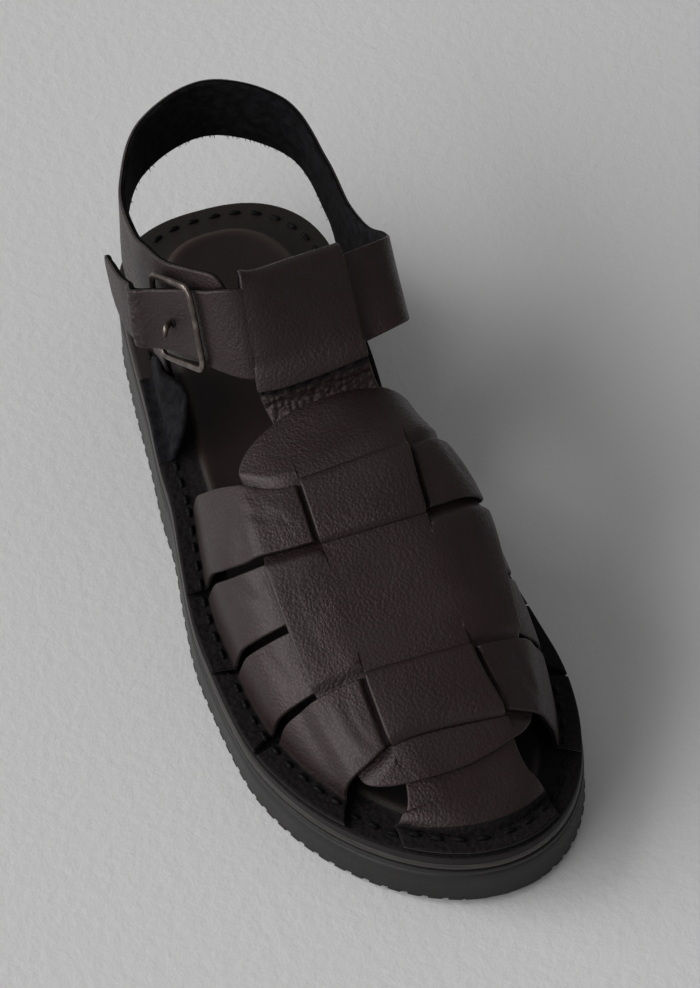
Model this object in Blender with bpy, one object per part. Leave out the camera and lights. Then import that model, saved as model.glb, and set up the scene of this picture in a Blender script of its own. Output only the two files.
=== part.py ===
"""A woven leather T-bar sandal for the right foot, with an ankle strap and a side buckle.

Units are metres. +Z is up, the toe points to -Y and the outer (lateral) side is at -X.
The origin is at floor level under the middle of the sole.
"""

from collections import namedtuple
from math import cos, pi, radians, sin

import bmesh
import bpy
import numpy as np
from mathutils import Vector

# Sole
SHOE_LENGTH = 0.272
BALL_WIDTH = 0.098
HEEL_RIM_HEIGHT = 0.028
FOREFOOT_RIM_HEIGHT = 0.0182
TOE_SPRING = 0.0026
MIDSOLE_THICKNESS = 0.0024
INSOLE_THICKNESS = 0.0030
FOOTBED_RISE = 0.0012
FOOTBED_MARGIN = 0.0125
SOLE_FLARE = 0.0010
RIB_HEIGHT = 0.0030
RIB_DEPTH = 0.0006
LUG_PITCH = 0.0056
LUG_WIDTH = 0.0034
LUG_DEPTH = 0.0015

# Leather
STRAP_THICKNESS = 0.0022
LAYER_RISE = 0.0015
WEAVE_RAMP = 0.0042
STITCH_MARGIN = 0.0080
EDGE_INSET = 0.0005
VAMP_HEIGHT = 0.0470
CENTRE_STRAP_WIDTH = 0.0310
PANEL_COLUMNS = 11
ANKLE_WIDTH = 0.0780
ANKLE_HEIGHT = 0.1010
TAB_HEIGHT = 0.0180
TAB_MARGIN = 0.0042
TAB_THICKNESS = 0.0018

# Buckle
BUCKLE_WIRE = 0.0022
PRONG_WIRE = 0.0020
PRONG_PLAY = 0.0005

# Fits
GAP = 0.0003
LOOP_CLEARANCE = 0.0005

# The sole's outline and rim, from heel (share 0) to toe (share 1).
# centre and half_width are shares of BALL_WIDTH.
SoleSection = namedtuple("SoleSection", "share centre half_width")
SOLE_SECTIONS = [
    SoleSection(0.00, 0.075, 0.355),
    SoleSection(0.10, 0.070, 0.357),
    SoleSection(0.19, 0.046, 0.362),
    SoleSection(0.28, 0.026, 0.370),
    SoleSection(0.40, -0.006, 0.378),
    SoleSection(0.50, -0.006, 0.420),
    SoleSection(0.62, 0.014, 0.480),
    SoleSection(0.74, 0.036, 0.492),
    SoleSection(0.85, 0.066, 0.482),
    SoleSection(0.93, 0.095, 0.475),
    SoleSection(1.00, 0.125, 0.470),
]
HEEL_ROUND_SHARE = 0.14
HEEL_ROUND_POWER = 2.5
TOE_ROUND_SHARE = 0.25
TOE_ROUND_POWER = 2.0
WEDGE_START_SHARE = 0.26
WEDGE_END_SHARE = 0.74
SPRING_START_SHARE = 0.78

# Height of the foot form along the shoe: y is a share of SHOE_LENGTH from the
# middle of the sole, height a share of VAMP_HEIGHT above the sole's rim.
Ridge = namedtuple("Ridge", "y height")
RIDGES = [
    Ridge(-0.480, 0.00),
    Ridge(-0.440, 0.13),
    Ridge(-0.405, 0.29),
    Ridge(-0.368, 0.45),
    Ridge(-0.300, 0.63),
    Ridge(-0.220, 0.80),
    Ridge(-0.158, 0.93),
    Ridge(-0.088, 1.00),
    Ridge(0.000, 0.93),
    Ridge(0.080, 0.90),
]

# The foot form's cross-section. station 1 is the outer fold on the sole and 6 the
# inner one; across and up are shares of the width between the folds and of the
# ridge's height, behind the ball and at the toes.
FormPoint = namedtuple("FormPoint", "station across up toe_across toe_up")
FORM_POINTS = [
    FormPoint(1.0, 0.000, 0.00, 0.000, 0.00),
    FormPoint(1.5, 0.030, 0.38, 0.030, 0.30),
    FormPoint(2.0, 0.135, 0.70, 0.150, 0.60),
    FormPoint(2.5, 0.240, 0.79, 0.230, 0.72),
    FormPoint(3.0, 0.355, 0.86, 0.310, 0.82),
    FormPoint(4.0, 0.735, 1.00, 0.720, 0.98),
    FormPoint(4.6, 0.860, 0.97, 0.830, 0.87),
    FormPoint(5.0, 0.930, 0.88, 0.900, 0.72),
    FormPoint(5.5, 0.990, 0.48, 0.975, 0.38),
    FormPoint(6.0, 1.000, 0.00, 1.000, 0.00),
]
REAR_FORM_Y = -0.150
TOE_FORM_Y = -0.370

# Back and front edges of each cross strap at the stations of the foot form,
# as shares of SHOE_LENGTH. Stations 0 and 7 are the sole's edge.
StrapEdge = namedtuple("StrapEdge", "station back front")
CROSS_STRAPS = {
    "a": [
        StrapEdge(0, 0.060, -0.050),
        StrapEdge(1, 0.056, -0.050),
        StrapEdge(2, -0.020, -0.125),
        StrapEdge(3, -0.076, -0.145),
        StrapEdge(4, -0.086, -0.158),
        StrapEdge(5, -0.072, -0.147),
        StrapEdge(6, 0.032, -0.058),
        StrapEdge(7, 0.040, -0.053),
    ],
    "b": [
        StrapEdge(0, -0.055, -0.158),
        StrapEdge(1, -0.062, -0.162),
        StrapEdge(2, -0.134, -0.204),
        StrapEdge(2.5, -0.142, -0.208),
        StrapEdge(4.6, -0.158, -0.216),
        StrapEdge(5, -0.156, -0.219),
        StrapEdge(6, -0.070, -0.170),
        StrapEdge(7, -0.058, -0.182),
    ],
    "c": [
        StrapEdge(0, -0.163, -0.278),
        StrapEdge(1, -0.172, -0.263),
        StrapEdge(2, -0.212, -0.281),
        StrapEdge(2.5, -0.216, -0.283),
        StrapEdge(4.6, -0.226, -0.290),
        StrapEdge(5, -0.228, -0.291),
        StrapEdge(6, -0.180, -0.268),
        StrapEdge(7, -0.187, -0.290),
    ],
    "d": [
        StrapEdge(0, -0.283, -0.408),
        StrapEdge(1, -0.276, -0.378),
        StrapEdge(2, -0.289, -0.370),
        StrapEdge(3, -0.296, -0.364),
        StrapEdge(4, -0.307, -0.373),
        StrapEdge(5, -0.298, -0.376),
        StrapEdge(6, -0.286, -0.384),
        StrapEdge(7, -0.295, -0.400),
    ],
}
SHORT_STRAPS = ("b", "c")

# The wide panel's two side edges, as shares of BALL_WIDTH at shares of SHOE_LENGTH.
PanelEdge = namedtuple("PanelEdge", "y outer inner")
PANEL_EDGES = [
    PanelEdge(-0.410, -0.190, 0.310),
    PanelEdge(-0.368, -0.195, 0.330),
    PanelEdge(-0.295, -0.232, 0.360),
    PanelEdge(-0.150, -0.250, 0.385),
    PanelEdge(-0.030, -0.222, 0.366),
    PanelEdge(0.025, -0.222, 0.366),
]
PANEL_BACK_Y = 0.022
PANEL_BACK_ROUND_Y = -0.036
PANEL_TIP_Y = -0.408
PANEL_TIP_ROUND_Y = -0.366
TOE_RISE_Y = -0.425

# The centre strap over and under the weave: middle of its width as a share of
# BALL_WIDTH, and width as a share of CENTRE_STRAP_WIDTH.
CentreRow = namedtuple("CentreRow", "y middle width")
CENTRE_ROWS = [
    CentreRow(-0.500, 0.085, 1.45),
    CentreRow(-0.460, 0.082, 1.38),
    CentreRow(-0.405, 0.085, 1.05),
    CentreRow(-0.300, 0.062, 0.97),
    CentreRow(-0.150, 0.068, 0.97),
    CentreRow(-0.020, 0.090, 1.02),
    CentreRow(0.060, 0.062, 1.03),
]

# The ankle ring at the foot's skin, in order round the ankle from the instep by
# the outer side and the heel. x is a share of ANKLE_WIDTH, y of SHOE_LENGTH and z
# of ANKLE_HEIGHT, for the strap's top edge and its low edge.
RingStation = namedtuple("RingStation", "top_x top_y top_z low_x low_y low_z")
RING = [
    RingStation(0.080, 0.103, 1.000, 0.095, 0.045, 0.775),
    RingStation(-0.090, 0.100, 1.005, -0.095, 0.054, 0.745),
    RingStation(-0.195, 0.118, 1.030, -0.190, 0.075, 0.735),
    RingStation(-0.265, 0.150, 0.995, -0.260, 0.110, 0.705),
    RingStation(-0.320, 0.184, 0.955, -0.325, 0.154, 0.640),
    RingStation(-0.340, 0.228, 0.905, -0.342, 0.203, 0.560),
    RingStation(-0.352, 0.272, 0.868, -0.352, 0.272, 0.540),
    RingStation(-0.330, 0.335, 0.880, -0.340, 0.342, 0.600),
    RingStation(-0.190, 0.394, 0.955, -0.205, 0.408, 0.700),
    RingStation(0.090, 0.418, 0.992, 0.096, 0.432, 0.742),
    RingStation(0.360, 0.384, 0.930, 0.385, 0.396, 0.665),
    RingStation(0.450, 0.325, 0.805, 0.465, 0.338, 0.540),
    RingStation(0.470, 0.272, 0.755, 0.452, 0.276, 0.500),
    RingStation(0.482, 0.212, 0.800, 0.452, 0.200, 0.505),
    RingStation(0.490, 0.160, 0.900, 0.475, 0.120, 0.645),
    RingStation(0.455, 0.128, 0.960, 0.455, 0.055, 0.805),
    RingStation(0.280, 0.112, 0.985, 0.295, 0.044, 0.800),
]
GUARD_START = 1.56
BAND_START = 16.3
TAIL_END = 23.05

# Legs of the ankle strap: from and to are places on the ring, foot_x is a share
# of ANKLE_WIDTH, foot_back and foot_front are shares of SHOE_LENGTH.
Leg = namedtuple("Leg", "start end foot_x foot_start foot_end")
LEGS = [
    Leg(5.05, 6.0, -0.290, 0.205, 0.262),
    Leg(12.0, 13.0, 0.380, 0.262, 0.205),
]

# The strap's free end over the guard: place is a ring place, lift the distance
# out from the guard, top and low are shares of the ring's width there.
BilletRow = namedtuple("BilletRow", "place lift top low")
BILLET = [
    BilletRow(16.3, 0.0000, 0.00, 1.00),
    BilletRow(17.2, 0.0002, 0.00, 1.00),
    BilletRow(17.8, 0.0014, 0.00, 1.00),
    BilletRow(18.3, 0.0028, 0.03, 0.98),
    BilletRow(19.2, 0.0029, 0.14, 0.94),
    BilletRow(20.0, 0.0036, 0.17, 0.88),
    BilletRow(20.6, 0.0058, 0.18, 0.82),
    BilletRow(21.1, 0.0088, 0.18, 0.78),
    BilletRow(21.8, 0.0098, 0.18, 0.72),
    BilletRow(22.5, 0.0092, 0.17, 0.60),
    BilletRow(23.05, 0.0085, 0.20, 0.36),
]

# The buckle between two ring places, its ends as shares of the ring's width.
BUCKLE_FRONT_PLACE = 2.62
BUCKLE_REAR_PLACE = 4.02
BUCKLE_TOP = 0.08
BUCKLE_LOW = 0.96
BUCKLE_MIDDLE = 0.52
FREE_BAR_LIFT = 0.0068
HINGE_BAR_LIFT = 0.0052
# The buckle's prong, from the hinge bar out through the strap's hole: place on the
# ring, share of its width, and lift out from it.
ProngPoint = namedtuple("ProngPoint", "place share lift")
PRONG = [
    ProngPoint(3.89, 0.52, 0.0050),
    ProngPoint(3.60, 0.52, 0.0053),
    ProngPoint(3.42, 0.52, 0.0066),
    ProngPoint(3.34, 0.53, 0.0090),
    ProngPoint(3.33, 0.63, 0.0104),
]

# Side tabs: from the back to the front of the fold, as shares of SHOE_LENGTH.
Tab = namedtuple("Tab", "side back front lean")
TABS = {
    "side_tab_lateral": Tab(-1, 0.262, 0.130, 0.0002),
    "side_tab_medial": Tab(1, 0.258, 0.112, -0.0032),
}

Finish = namedtuple("Finish", "colour roughness metallic")
FINISHES = {
    "rubber": Finish((0.020, 0.019, 0.019), 0.62, 0.0),
    "midsole": Finish((0.060, 0.055, 0.052), 0.60, 0.0),
    "insole_leather": Finish((0.042, 0.028, 0.023), 0.55, 0.0),
    "strap_leather": Finish((0.050, 0.036, 0.034), 0.42, 0.0),
    "suede": Finish((0.030, 0.028, 0.034), 0.95, 0.0),
    "dark_metal": Finish((0.120, 0.100, 0.085), 0.35, 1.0),
}


def clear_scene():
    """Remove what a new file holds."""
    for thing in list(bpy.data.objects):
        bpy.data.objects.remove(thing, do_unlink=True)


def make_material(name):
    """One Principled material from the table of finishes."""
    finish = FINISHES[name]
    material = bpy.data.materials.new(name)
    material.use_nodes = True
    shader = material.node_tree.nodes["Principled BSDF"]
    shader.inputs["Base Color"].default_value = (*finish.colour, 1.0)
    shader.inputs["Roughness"].default_value = finish.roughness
    shader.inputs["Metallic"].default_value = finish.metallic
    return material


def add_object(name, points, faces, material):
    """A mesh object from points and faces."""
    mesh = bpy.data.meshes.new(name)
    mesh.from_pydata([tuple(map(float, point)) for point in points], [], faces)
    mesh.validate()
    mesh.materials.append(MATERIALS[material])
    piece = bpy.data.objects.new(name, mesh)
    bpy.context.collection.objects.link(piece)
    return piece


def smooth_table(rows, key, column, where):
    """Smooth interpolation of one column of a table that has no overshoot."""
    places = np.array([getattr(row, key) for row in rows], float)
    values = np.array([getattr(row, column) for row in rows], float)
    return smooth_values(places, values, where)


def smooth_values(places, values, where):
    """Monotone cubic through values, with one slope per place."""
    steps = np.diff(places)
    slopes = np.diff(values) / steps
    tangents = np.empty_like(values)
    tangents[0] = slopes[0]
    tangents[-1] = slopes[-1]
    product = slopes[:-1] * slopes[1:]
    total = slopes[:-1] + slopes[1:]
    safe = np.where(np.abs(total) > 1e-12, total, 1.0)
    tangents[1:-1] = np.where(product > 0.0, 2.0 * product / safe, 0.0)
    where = np.clip(np.asarray(where, float), places[0], places[-1])
    index = np.clip(np.searchsorted(places, where) - 1, 0, len(steps) - 1)
    share = (where - places[index]) / steps[index]
    h00 = 2.0 * share ** 3 - 3.0 * share ** 2 + 1.0
    h10 = share ** 3 - 2.0 * share ** 2 + share
    h01 = 1.0 - h00
    h11 = share ** 3 - share ** 2
    near = h00 * values[index] + h10 * steps[index] * tangents[index]
    far = h01 * values[index + 1] + h11 * steps[index] * tangents[index + 1]
    return near + far


def smoothstep(low, high, value):
    """0 below low, 1 above high and a soft ramp between."""
    share = np.clip((value - low) / (high - low), 0.0, 1.0)
    return share * share * (3.0 - 2.0 * share)


def end_rounding(share):
    """How much of the sole's width is left near its round heel and toe."""
    heel = np.clip(1.0 - share / HEEL_ROUND_SHARE, 0.0, 1.0)
    toe = np.clip(1.0 - (1.0 - share) / TOE_ROUND_SHARE, 0.0, 1.0)
    heel_part = (1.0 - heel ** HEEL_ROUND_POWER) ** (1.0 / HEEL_ROUND_POWER)
    toe_part = (1.0 - toe ** TOE_ROUND_POWER) ** (1.0 / TOE_ROUND_POWER)
    return heel_part * toe_part


def sole_side(share, inset, side):
    """Point of the sole's outline in plan, moved in by inset."""
    centre = smooth_table(SOLE_SECTIONS, "share", "centre", share) * BALL_WIDTH
    half = smooth_table(SOLE_SECTIONS, "share", "half_width", share) * BALL_WIDTH
    x = centre + side * (half - inset) * end_rounding(share)
    y = (0.5 * SHOE_LENGTH - inset) * (1.0 - 2.0 * share)
    return x, y


def share_at(y, inset=0.0):
    """Share from heel to toe at a distance y from the middle of the sole."""
    return np.clip(0.5 - y / (SHOE_LENGTH - 2.0 * inset), 0.0, 1.0)


def sole_x(y, inset, side):
    """The outline's x at y, moved in by inset."""
    return sole_side(share_at(y, inset), inset, side)[0]


def toe_spring(share):
    """How far the sole's underside rises towards the toe."""
    rise = np.clip((share - SPRING_START_SHARE) / (1.0 - SPRING_START_SHARE), 0.0, 1.0)
    return TOE_SPRING * rise * rise


def rim_height(y):
    """Height of the insole's edge above the floor."""
    share = share_at(y)
    wedge = 1.0 - smoothstep(WEDGE_START_SHARE, WEDGE_END_SHARE, share)
    thick = FOREFOOT_RIM_HEIGHT + (HEEL_RIM_HEIGHT - FOREFOOT_RIM_HEIGHT) * wedge
    return thick + toe_spring(share)


def outline_shares(pitch):
    """Shares from heel to toe, spaced evenly along the sole's edge."""
    fine = (1.0 - np.cos(np.linspace(0.0, pi, 1200))) / 2.0
    lengths = []
    for side in (-1, 1):
        x, y = sole_side(fine, 0.0, side)
        steps = np.hypot(np.diff(x), np.diff(y))
        lengths.append(np.concatenate([[0.0], np.cumsum(steps)]))
    mean = (lengths[0] + lengths[1]) / 2.0
    count = max(8, round(mean[-1] / pitch))
    return np.interp(np.linspace(0.0, mean[-1], count + 1), mean, fine)


class SoleMesh:
    """Rings of points round the sole, each an outer side, an inner side and two tips."""

    def __init__(self):
        self.points = []
        self.faces = []

    def ring(self, shares, inset, height):
        """Add a ring; returns the indices of its outer and inner sides."""
        sides = []
        for side in (-1, 1):
            indices = []
            for step, share in enumerate(shares):
                is_tip = step in (0, len(shares) - 1)
                if side == 1 and is_tip:
                    indices.append(sides[0][step])
                    continue
                x, y = sole_side(share, inset, side)
                self.points.append((x, y, height(step, y)))
                indices.append(len(self.points) - 1)
            sides.append(indices)
        return sides

    def face(self, *indices):
        """Add a face without repeated corners."""
        kept = [index for place, index in enumerate(indices) if index != indices[place - 1]]
        if len(set(kept)) > 2:
            self.faces.append(kept)

    def wall(self, low, high):
        """Join two rings that have the same stations."""
        count = len(low[0])
        for step in range(count - 1):
            self.face(low[0][step], low[0][step + 1], high[0][step + 1], high[0][step])
            self.face(low[1][step + 1], low[1][step], high[1][step], high[1][step + 1])

    def deck(self, ring, up):
        """Close a ring with strips from side to side."""
        for step in range(len(ring[0]) - 1):
            strip = [ring[0][step], ring[0][step + 1], ring[1][step + 1], ring[1][step]]
            self.face(*(strip if up else reversed(strip)))


def build_outsole():
    """Rubber wedge with a rib below its top edge and lugs across its underside."""
    shares = outline_shares(LUG_PITCH / 2.0)
    # Lugs and grooves take turns between stations, so a lug is wider by moving
    # each of its two stations out by the same amount.
    count = len(shares)
    widen = (LUG_WIDTH - LUG_PITCH / 2.0) / 2.0
    step_length = LUG_PITCH / 2.0
    gaps = np.gradient(shares) / step_length
    for step in range(2, count - 2):
        direction = -1.0 if step % 2 == 0 else 1.0
        shares[step] += direction * widen * gaps[step]
    sole = SoleMesh()
    under = MIDSOLE_THICKNESS + INSOLE_THICKNESS + 2.0 * GAP

    def top(step, y):
        return rim_height(y) - under

    rows = [
        (EDGE_INSET, lambda step, y: top(step, y)),
        (0.0, lambda step, y: top(step, y) - RIB_DEPTH),
        (0.0, lambda step, y: top(step, y) - RIB_HEIGHT),
        (RIB_DEPTH, lambda step, y: top(step, y) - RIB_HEIGHT - RIB_DEPTH),
        (0.0, lambda step, y: toe_spring(share_at(y)) + 2.0 * LUG_DEPTH),
        (-SOLE_FLARE / 2.0, lambda step, y: toe_spring(share_at(y)) + LUG_DEPTH),
    ]
    rings = [sole.ring(shares, inset, height) for inset, height in rows]
    for high, low in zip(rings, rings[1:]):
        sole.wall(low, high)
    sole.deck(rings[0], up=True)

    floor = sole.ring(shares, -SOLE_FLARE, lambda step, y: toe_spring(share_at(y)))
    roof = rings[-1]
    grooves = [step % 2 == 1 and 2 < step < count - 4 for step in range(count - 1)]
    for step, is_groove in enumerate(grooves):
        level = roof if is_groove else floor
        sole.face(level[1][step + 1], level[0][step + 1], level[0][step], level[1][step])
        if is_groove:
            continue
        sole.face(floor[0][step], floor[0][step + 1], roof[0][step + 1], roof[0][step])
        sole.face(floor[1][step + 1], floor[1][step], roof[1][step], roof[1][step + 1])
        if step > 0 and grooves[step - 1]:
            sole.face(roof[0][step], roof[1][step], floor[1][step], floor[0][step])
        if step + 1 < count - 1 and grooves[step + 1]:
            place = step + 1
            sole.face(floor[0][place], floor[1][place], roof[1][place], roof[0][place])
    used = sorted({index for face in sole.faces for index in face})
    renumber = {old: new for new, old in enumerate(used)}
    points = [sole.points[index] for index in used]
    faces = [[renumber[index] for index in face] for face in sole.faces]
    return add_object("outsole", points, faces, "rubber")


def build_midsole():
    """Thin layer between rubber and insole, set back to leave a line round the edge."""
    shares = outline_shares(2.0 * LUG_PITCH)
    sole = SoleMesh()
    low = sole.ring(shares, 2.0 * EDGE_INSET, lambda step, y: midsole_top(y) - MIDSOLE_THICKNESS)
    high = sole.ring(shares, 2.0 * EDGE_INSET, lambda step, y: midsole_top(y))
    sole.wall(low, high)
    sole.deck(high, up=True)
    sole.deck(low, up=False)
    return add_object("midsole", sole.points, sole.faces, "midsole")


def midsole_top(y):
    """Height of the midsole's upper face."""
    return rim_height(y) - INSOLE_THICKNESS - GAP


def build_insole():
    """Leather insole with a flat stitched margin and a raised footbed."""
    shares = outline_shares(2.0 * LUG_PITCH)
    sole = SoleMesh()
    slope = FOOTBED_RISE
    rows = [
        (EDGE_INSET, lambda step, y: rim_height(y) - INSOLE_THICKNESS),
        (EDGE_INSET, lambda step, y: rim_height(y)),
        (FOOTBED_MARGIN, lambda step, y: rim_height(y)),
        (FOOTBED_MARGIN + slope, lambda step, y: rim_height(y) + FOOTBED_RISE),
    ]
    rings = [sole.ring(shares, inset, height) for inset, height in rows]
    for low, high in zip(rings, rings[1:]):
        sole.wall(low, high)
    sole.deck(rings[-1], up=True)
    sole.deck(rings[0], up=False)
    return add_object("insole", sole.points, sole.faces, "insole_leather")


def form_section(y):
    """Stations of the foot form at y and their x and z, from edge to edge of the sole."""
    outer_rim = sole_x(y, EDGE_INSET, -1)
    inner_rim = sole_x(y, EDGE_INSET, 1)
    outer_fold = sole_x(y, STITCH_MARGIN, -1)
    inner_fold = sole_x(y, STITCH_MARGIN, 1)
    base = rim_height(y) + GAP
    ridge = smooth_table(RIDGES, "y", "height", y / SHOE_LENGTH) * VAMP_HEIGHT
    toe = toe_blend(y)
    stations, xs, zs = [0.0, 0.8], [], []
    xs += [outer_rim, outer_rim + 0.8 * (outer_fold - outer_rim)]
    zs += [base, base]
    for point in FORM_POINTS:
        across = point.across + (point.toe_across - point.across) * toe
        up = point.up + (point.toe_up - point.up) * toe
        stations.append(point.station)
        xs.append(outer_fold + across * (inner_fold - outer_fold))
        zs.append(base + up * ridge)
    stations += [6.2, 7.0]
    xs += [inner_rim - 0.8 * (inner_rim - inner_fold), inner_rim]
    zs += [base, base]
    return np.array(stations), np.array(xs), np.array(zs)


def toe_blend(y):
    """0 behind the ball and 1 at the toes."""
    share = (REAR_FORM_Y - y / SHOE_LENGTH) / (REAR_FORM_Y - TOE_FORM_Y)
    share = min(max(share, 0.0), 1.0)
    return share * share * (3.0 - 2.0 * share)


def form_point(station, y):
    """A point on the foot form."""
    stations, xs, zs = form_section(y)
    x = float(smooth_values(stations, xs, station))
    z = float(smooth_values(stations, zs, station))
    return Vector((x, y, z))


def form_normal(station, y):
    """Outward normal of the foot form."""
    step = 0.02
    reach = 0.0015
    lower = max(station - step, 0.0)
    upper = min(station + step, 7.0)
    along = form_point(upper, y) - form_point(lower, y)
    ahead = form_point(station, y - reach) - form_point(station, y + reach)
    normal = ahead.cross(along)
    return normal.normalized()


def station_at(x, y):
    """Station of the foot form's top at a given x."""
    stations, xs, _ = form_section(y)
    fine = np.linspace(1.0, 6.0, 101)
    return float(np.interp(x, smooth_values(stations, xs, fine), fine))


def strap_edges(name, station):
    """Back and front edge of a cross strap at a station, in metres."""
    rows = CROSS_STRAPS[name]
    back = float(smooth_table(rows, "station", "back", station)) * SHOE_LENGTH
    front = float(smooth_table(rows, "station", "front", station)) * SHOE_LENGTH
    return back, front


def under_strap(name, station, y):
    """1 where a cross strap lies over this place and 0 where it does not."""
    back, front = strap_edges(name, station)
    return ramp_share(back + WEAVE_RAMP - y, WEAVE_RAMP) * ramp_share(y - front + WEAVE_RAMP, WEAVE_RAMP)


def ramp_share(distance, ramp):
    """A soft ramp from 0 to 1 over a distance."""
    share = min(max(distance / ramp, 0.0), 1.0)
    return share * share * (3.0 - 2.0 * share)


def solid_grid(name, inner, outer, material):
    """Closed solid between two grids of points, each a list of rows."""
    rows = len(inner)
    columns = len(inner[0])
    points = [point for row in inner for point in row]
    points += [point for row in outer for point in row]
    shift = rows * columns
    faces = []

    def at(row, column, is_outer):
        return row * columns + column + (shift if is_outer else 0)

    for row in range(rows - 1):
        for column in range(columns - 1):
            quad = [(row, column), (row, column + 1), (row + 1, column + 1), (row + 1, column)]
            faces.append([at(r, c, True) for r, c in quad])
            faces.append([at(r, c, False) for r, c in reversed(quad)])
    for row in range(rows - 1):
        last = columns - 1
        faces.append([at(row, 0, False), at(row, 0, True), at(row + 1, 0, True), at(row + 1, 0, False)])
        faces.append([at(row + 1, last, False), at(row + 1, last, True),
                      at(row, last, True), at(row, last, False)])
    for column in range(columns - 1):
        last = rows - 1
        faces.append([at(0, column + 1, False), at(0, column + 1, True),
                      at(0, column, True), at(0, column, False)])
        faces.append([at(last, column, False), at(last, column, True),
                      at(last, column + 1, True), at(last, column + 1, False)])
    return add_object(name, points, faces, material)


def thicken(rows, thickness, turned=False):
    """Rows moved out by a thickness, with full thickness kept round folds."""
    outer = []
    last = len(rows) - 1
    for step, row in enumerate(rows):
        outer_row = []
        for column, point in enumerate(row):
            across = row[min(column + 1, len(row) - 1)] - row[max(column - 1, 0)]
            directions = []
            if step > 0:
                directions.append(across.cross(point - rows[step - 1][column]).normalized())
            if step < last:
                directions.append(across.cross(rows[step + 1][column] - point).normalized())
            first, second = directions[0], directions[-1]
            mitre = (first + second) / max(1.0 + first.dot(second), 0.35)
            outer_row.append(point + mitre * (-thickness if turned else thickness))
        outer.append(outer_row)
    return outer


def ribbon(name, rows, material, thickness=STRAP_THICKNESS, turned=False):
    """Closed leather ribbon from the rows of its inner face."""
    return face_outward(solid_grid(name, rows, thicken(rows, thickness, turned), material))


def face_outward(piece):
    """Turn the mesh's faces out if its volume comes out negative."""
    mesh = bmesh.new()
    mesh.from_mesh(piece.data)
    if mesh.calc_volume(signed=True) < 0.0:
        bmesh.ops.reverse_faces(mesh, faces=mesh.faces)
    mesh.to_mesh(piece.data)
    mesh.free()
    return piece


def combine(base, others, operation):
    """Fuse or cut solids, then drop the crumbs left by surfaces that just touch."""
    for other in others:
        step = base.modifiers.new(other.name, "BOOLEAN")
        step.operation = operation
        step.solver = "EXACT"
        step.object = other
        other.hide_render = True
        other.display_type = "WIRE"
    bpy.context.view_layer.update()
    graph = bpy.context.evaluated_depsgraph_get()
    result = bpy.data.meshes.new_from_object(base.evaluated_get(graph))
    base.modifiers.clear()
    base.data = largest_body(result)
    for other in others:
        bpy.data.objects.remove(other, do_unlink=True)
    return base


def largest_body(data):
    """Keep the mesh's largest connected body."""
    mesh = bmesh.new()
    mesh.from_mesh(data)
    waiting = set(mesh.verts)
    bodies = []
    while waiting:
        body = {waiting.pop()}
        edge = list(body)
        while edge:
            vert = edge.pop()
            near = [link.other_vert(vert) for link in vert.link_edges]
            fresh = [vert for vert in near if vert not in body]
            body.update(fresh)
            edge += fresh
        waiting -= body
        bodies.append(body)
    bodies.sort(key=len)
    for body in bodies[:-1]:
        bmesh.ops.delete(mesh, geom=list(body), context="VERTS")
    mesh.to_mesh(data)
    mesh.free()
    return data


def cross_strap(name):
    """One cross strap of the weave, or the two ends of one that stops under the panel."""
    outer_flank = [0.0, 0.5, 1.0, 1.38, 1.65, 1.85, 2.05, 2.25, 2.45]
    middle = [2.75, 3.1, 3.4, 3.7, 4.0, 4.25]
    inner_flank = [4.5, 4.7, 4.9, 5.1, 5.35, 5.65, 6.0, 6.5, 7.0]
    if name in SHORT_STRAPS:
        return [strap_patch(name, outer_flank, "outer"), strap_patch(name, inner_flank, "inner")]
    return [strap_patch(name, outer_flank + middle + inner_flank, "whole")]


def strap_patch(name, stations, label):
    """A patch of a cross strap along the given stations."""
    rows = []
    splits = 4
    for station in stations:
        back, front = strap_edges(name, station)
        row = []
        for split in range(splits + 1):
            y = back + (front - back) * split / splits
            point = form_point(station, y)
            if name not in SHORT_STRAPS:
                point += form_normal(station, y) * LAYER_RISE * over_panel(point.x, y)
            row.append(point)
        rows.append(row)
    return ribbon("strap_" + name + "_" + label, rows, "strap_leather")


def panel_sides(y):
    """Outer and inner edge of the panel at y, in metres."""
    share = y / SHOE_LENGTH
    outer = float(smooth_table(PANEL_EDGES, "y", "outer", share)) * BALL_WIDTH
    inner = float(smooth_table(PANEL_EDGES, "y", "inner", share)) * BALL_WIDTH
    return outer, inner


def over_panel(x, y):
    """1 over the panel and 0 beside it."""
    ramp = 0.007
    outer, inner = panel_sides(y)
    return ramp_share(x - outer + ramp, ramp) * ramp_share(inner + ramp - x, ramp)


def panel_rounding(y):
    """How much of the panel's width is left near its two round ends."""
    share = y / SHOE_LENGTH
    back = (share - PANEL_BACK_ROUND_Y) / (PANEL_BACK_Y - PANEL_BACK_ROUND_Y)
    tip = (share - PANEL_TIP_ROUND_Y) / (PANEL_TIP_Y - PANEL_TIP_ROUND_Y)
    reach = min(max(back, tip, 0.0), 1.0)
    return max(1.0 - reach ** 2.2, 0.0) ** 0.5


def build_panel():
    """The wide panel, over and under the cross straps, with two round ends."""
    back = PANEL_BACK_Y - 0.0012
    tip = PANEL_TIP_Y + 0.0012
    turns = np.linspace(0.0, pi, 41)
    ys = [(back + tip) / 2.0 - (back - tip) / 2.0 * cos(turn) for turn in turns]
    rows = []
    for share in spaced(ys, weave_rows()):
        y = share * SHOE_LENGTH
        low, high = panel_sides(y)
        middle = (low + high) / 2.0
        half = (high - low) / 2.0 * panel_rounding(y)
        row = []
        for column in range(PANEL_COLUMNS):
            x = middle + half * (2.0 * column / (PANEL_COLUMNS - 1) - 1.0)
            station = station_at(x, y)
            hidden = max(under_strap("a", station, y), under_strap("d", station, y))
            lift = LAYER_RISE * (1.0 - hidden)
            row.append(form_point(station, y) + form_normal(station, y) * lift)
        rows.append(row)
    return ribbon("panel", rows, "strap_leather")


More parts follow.
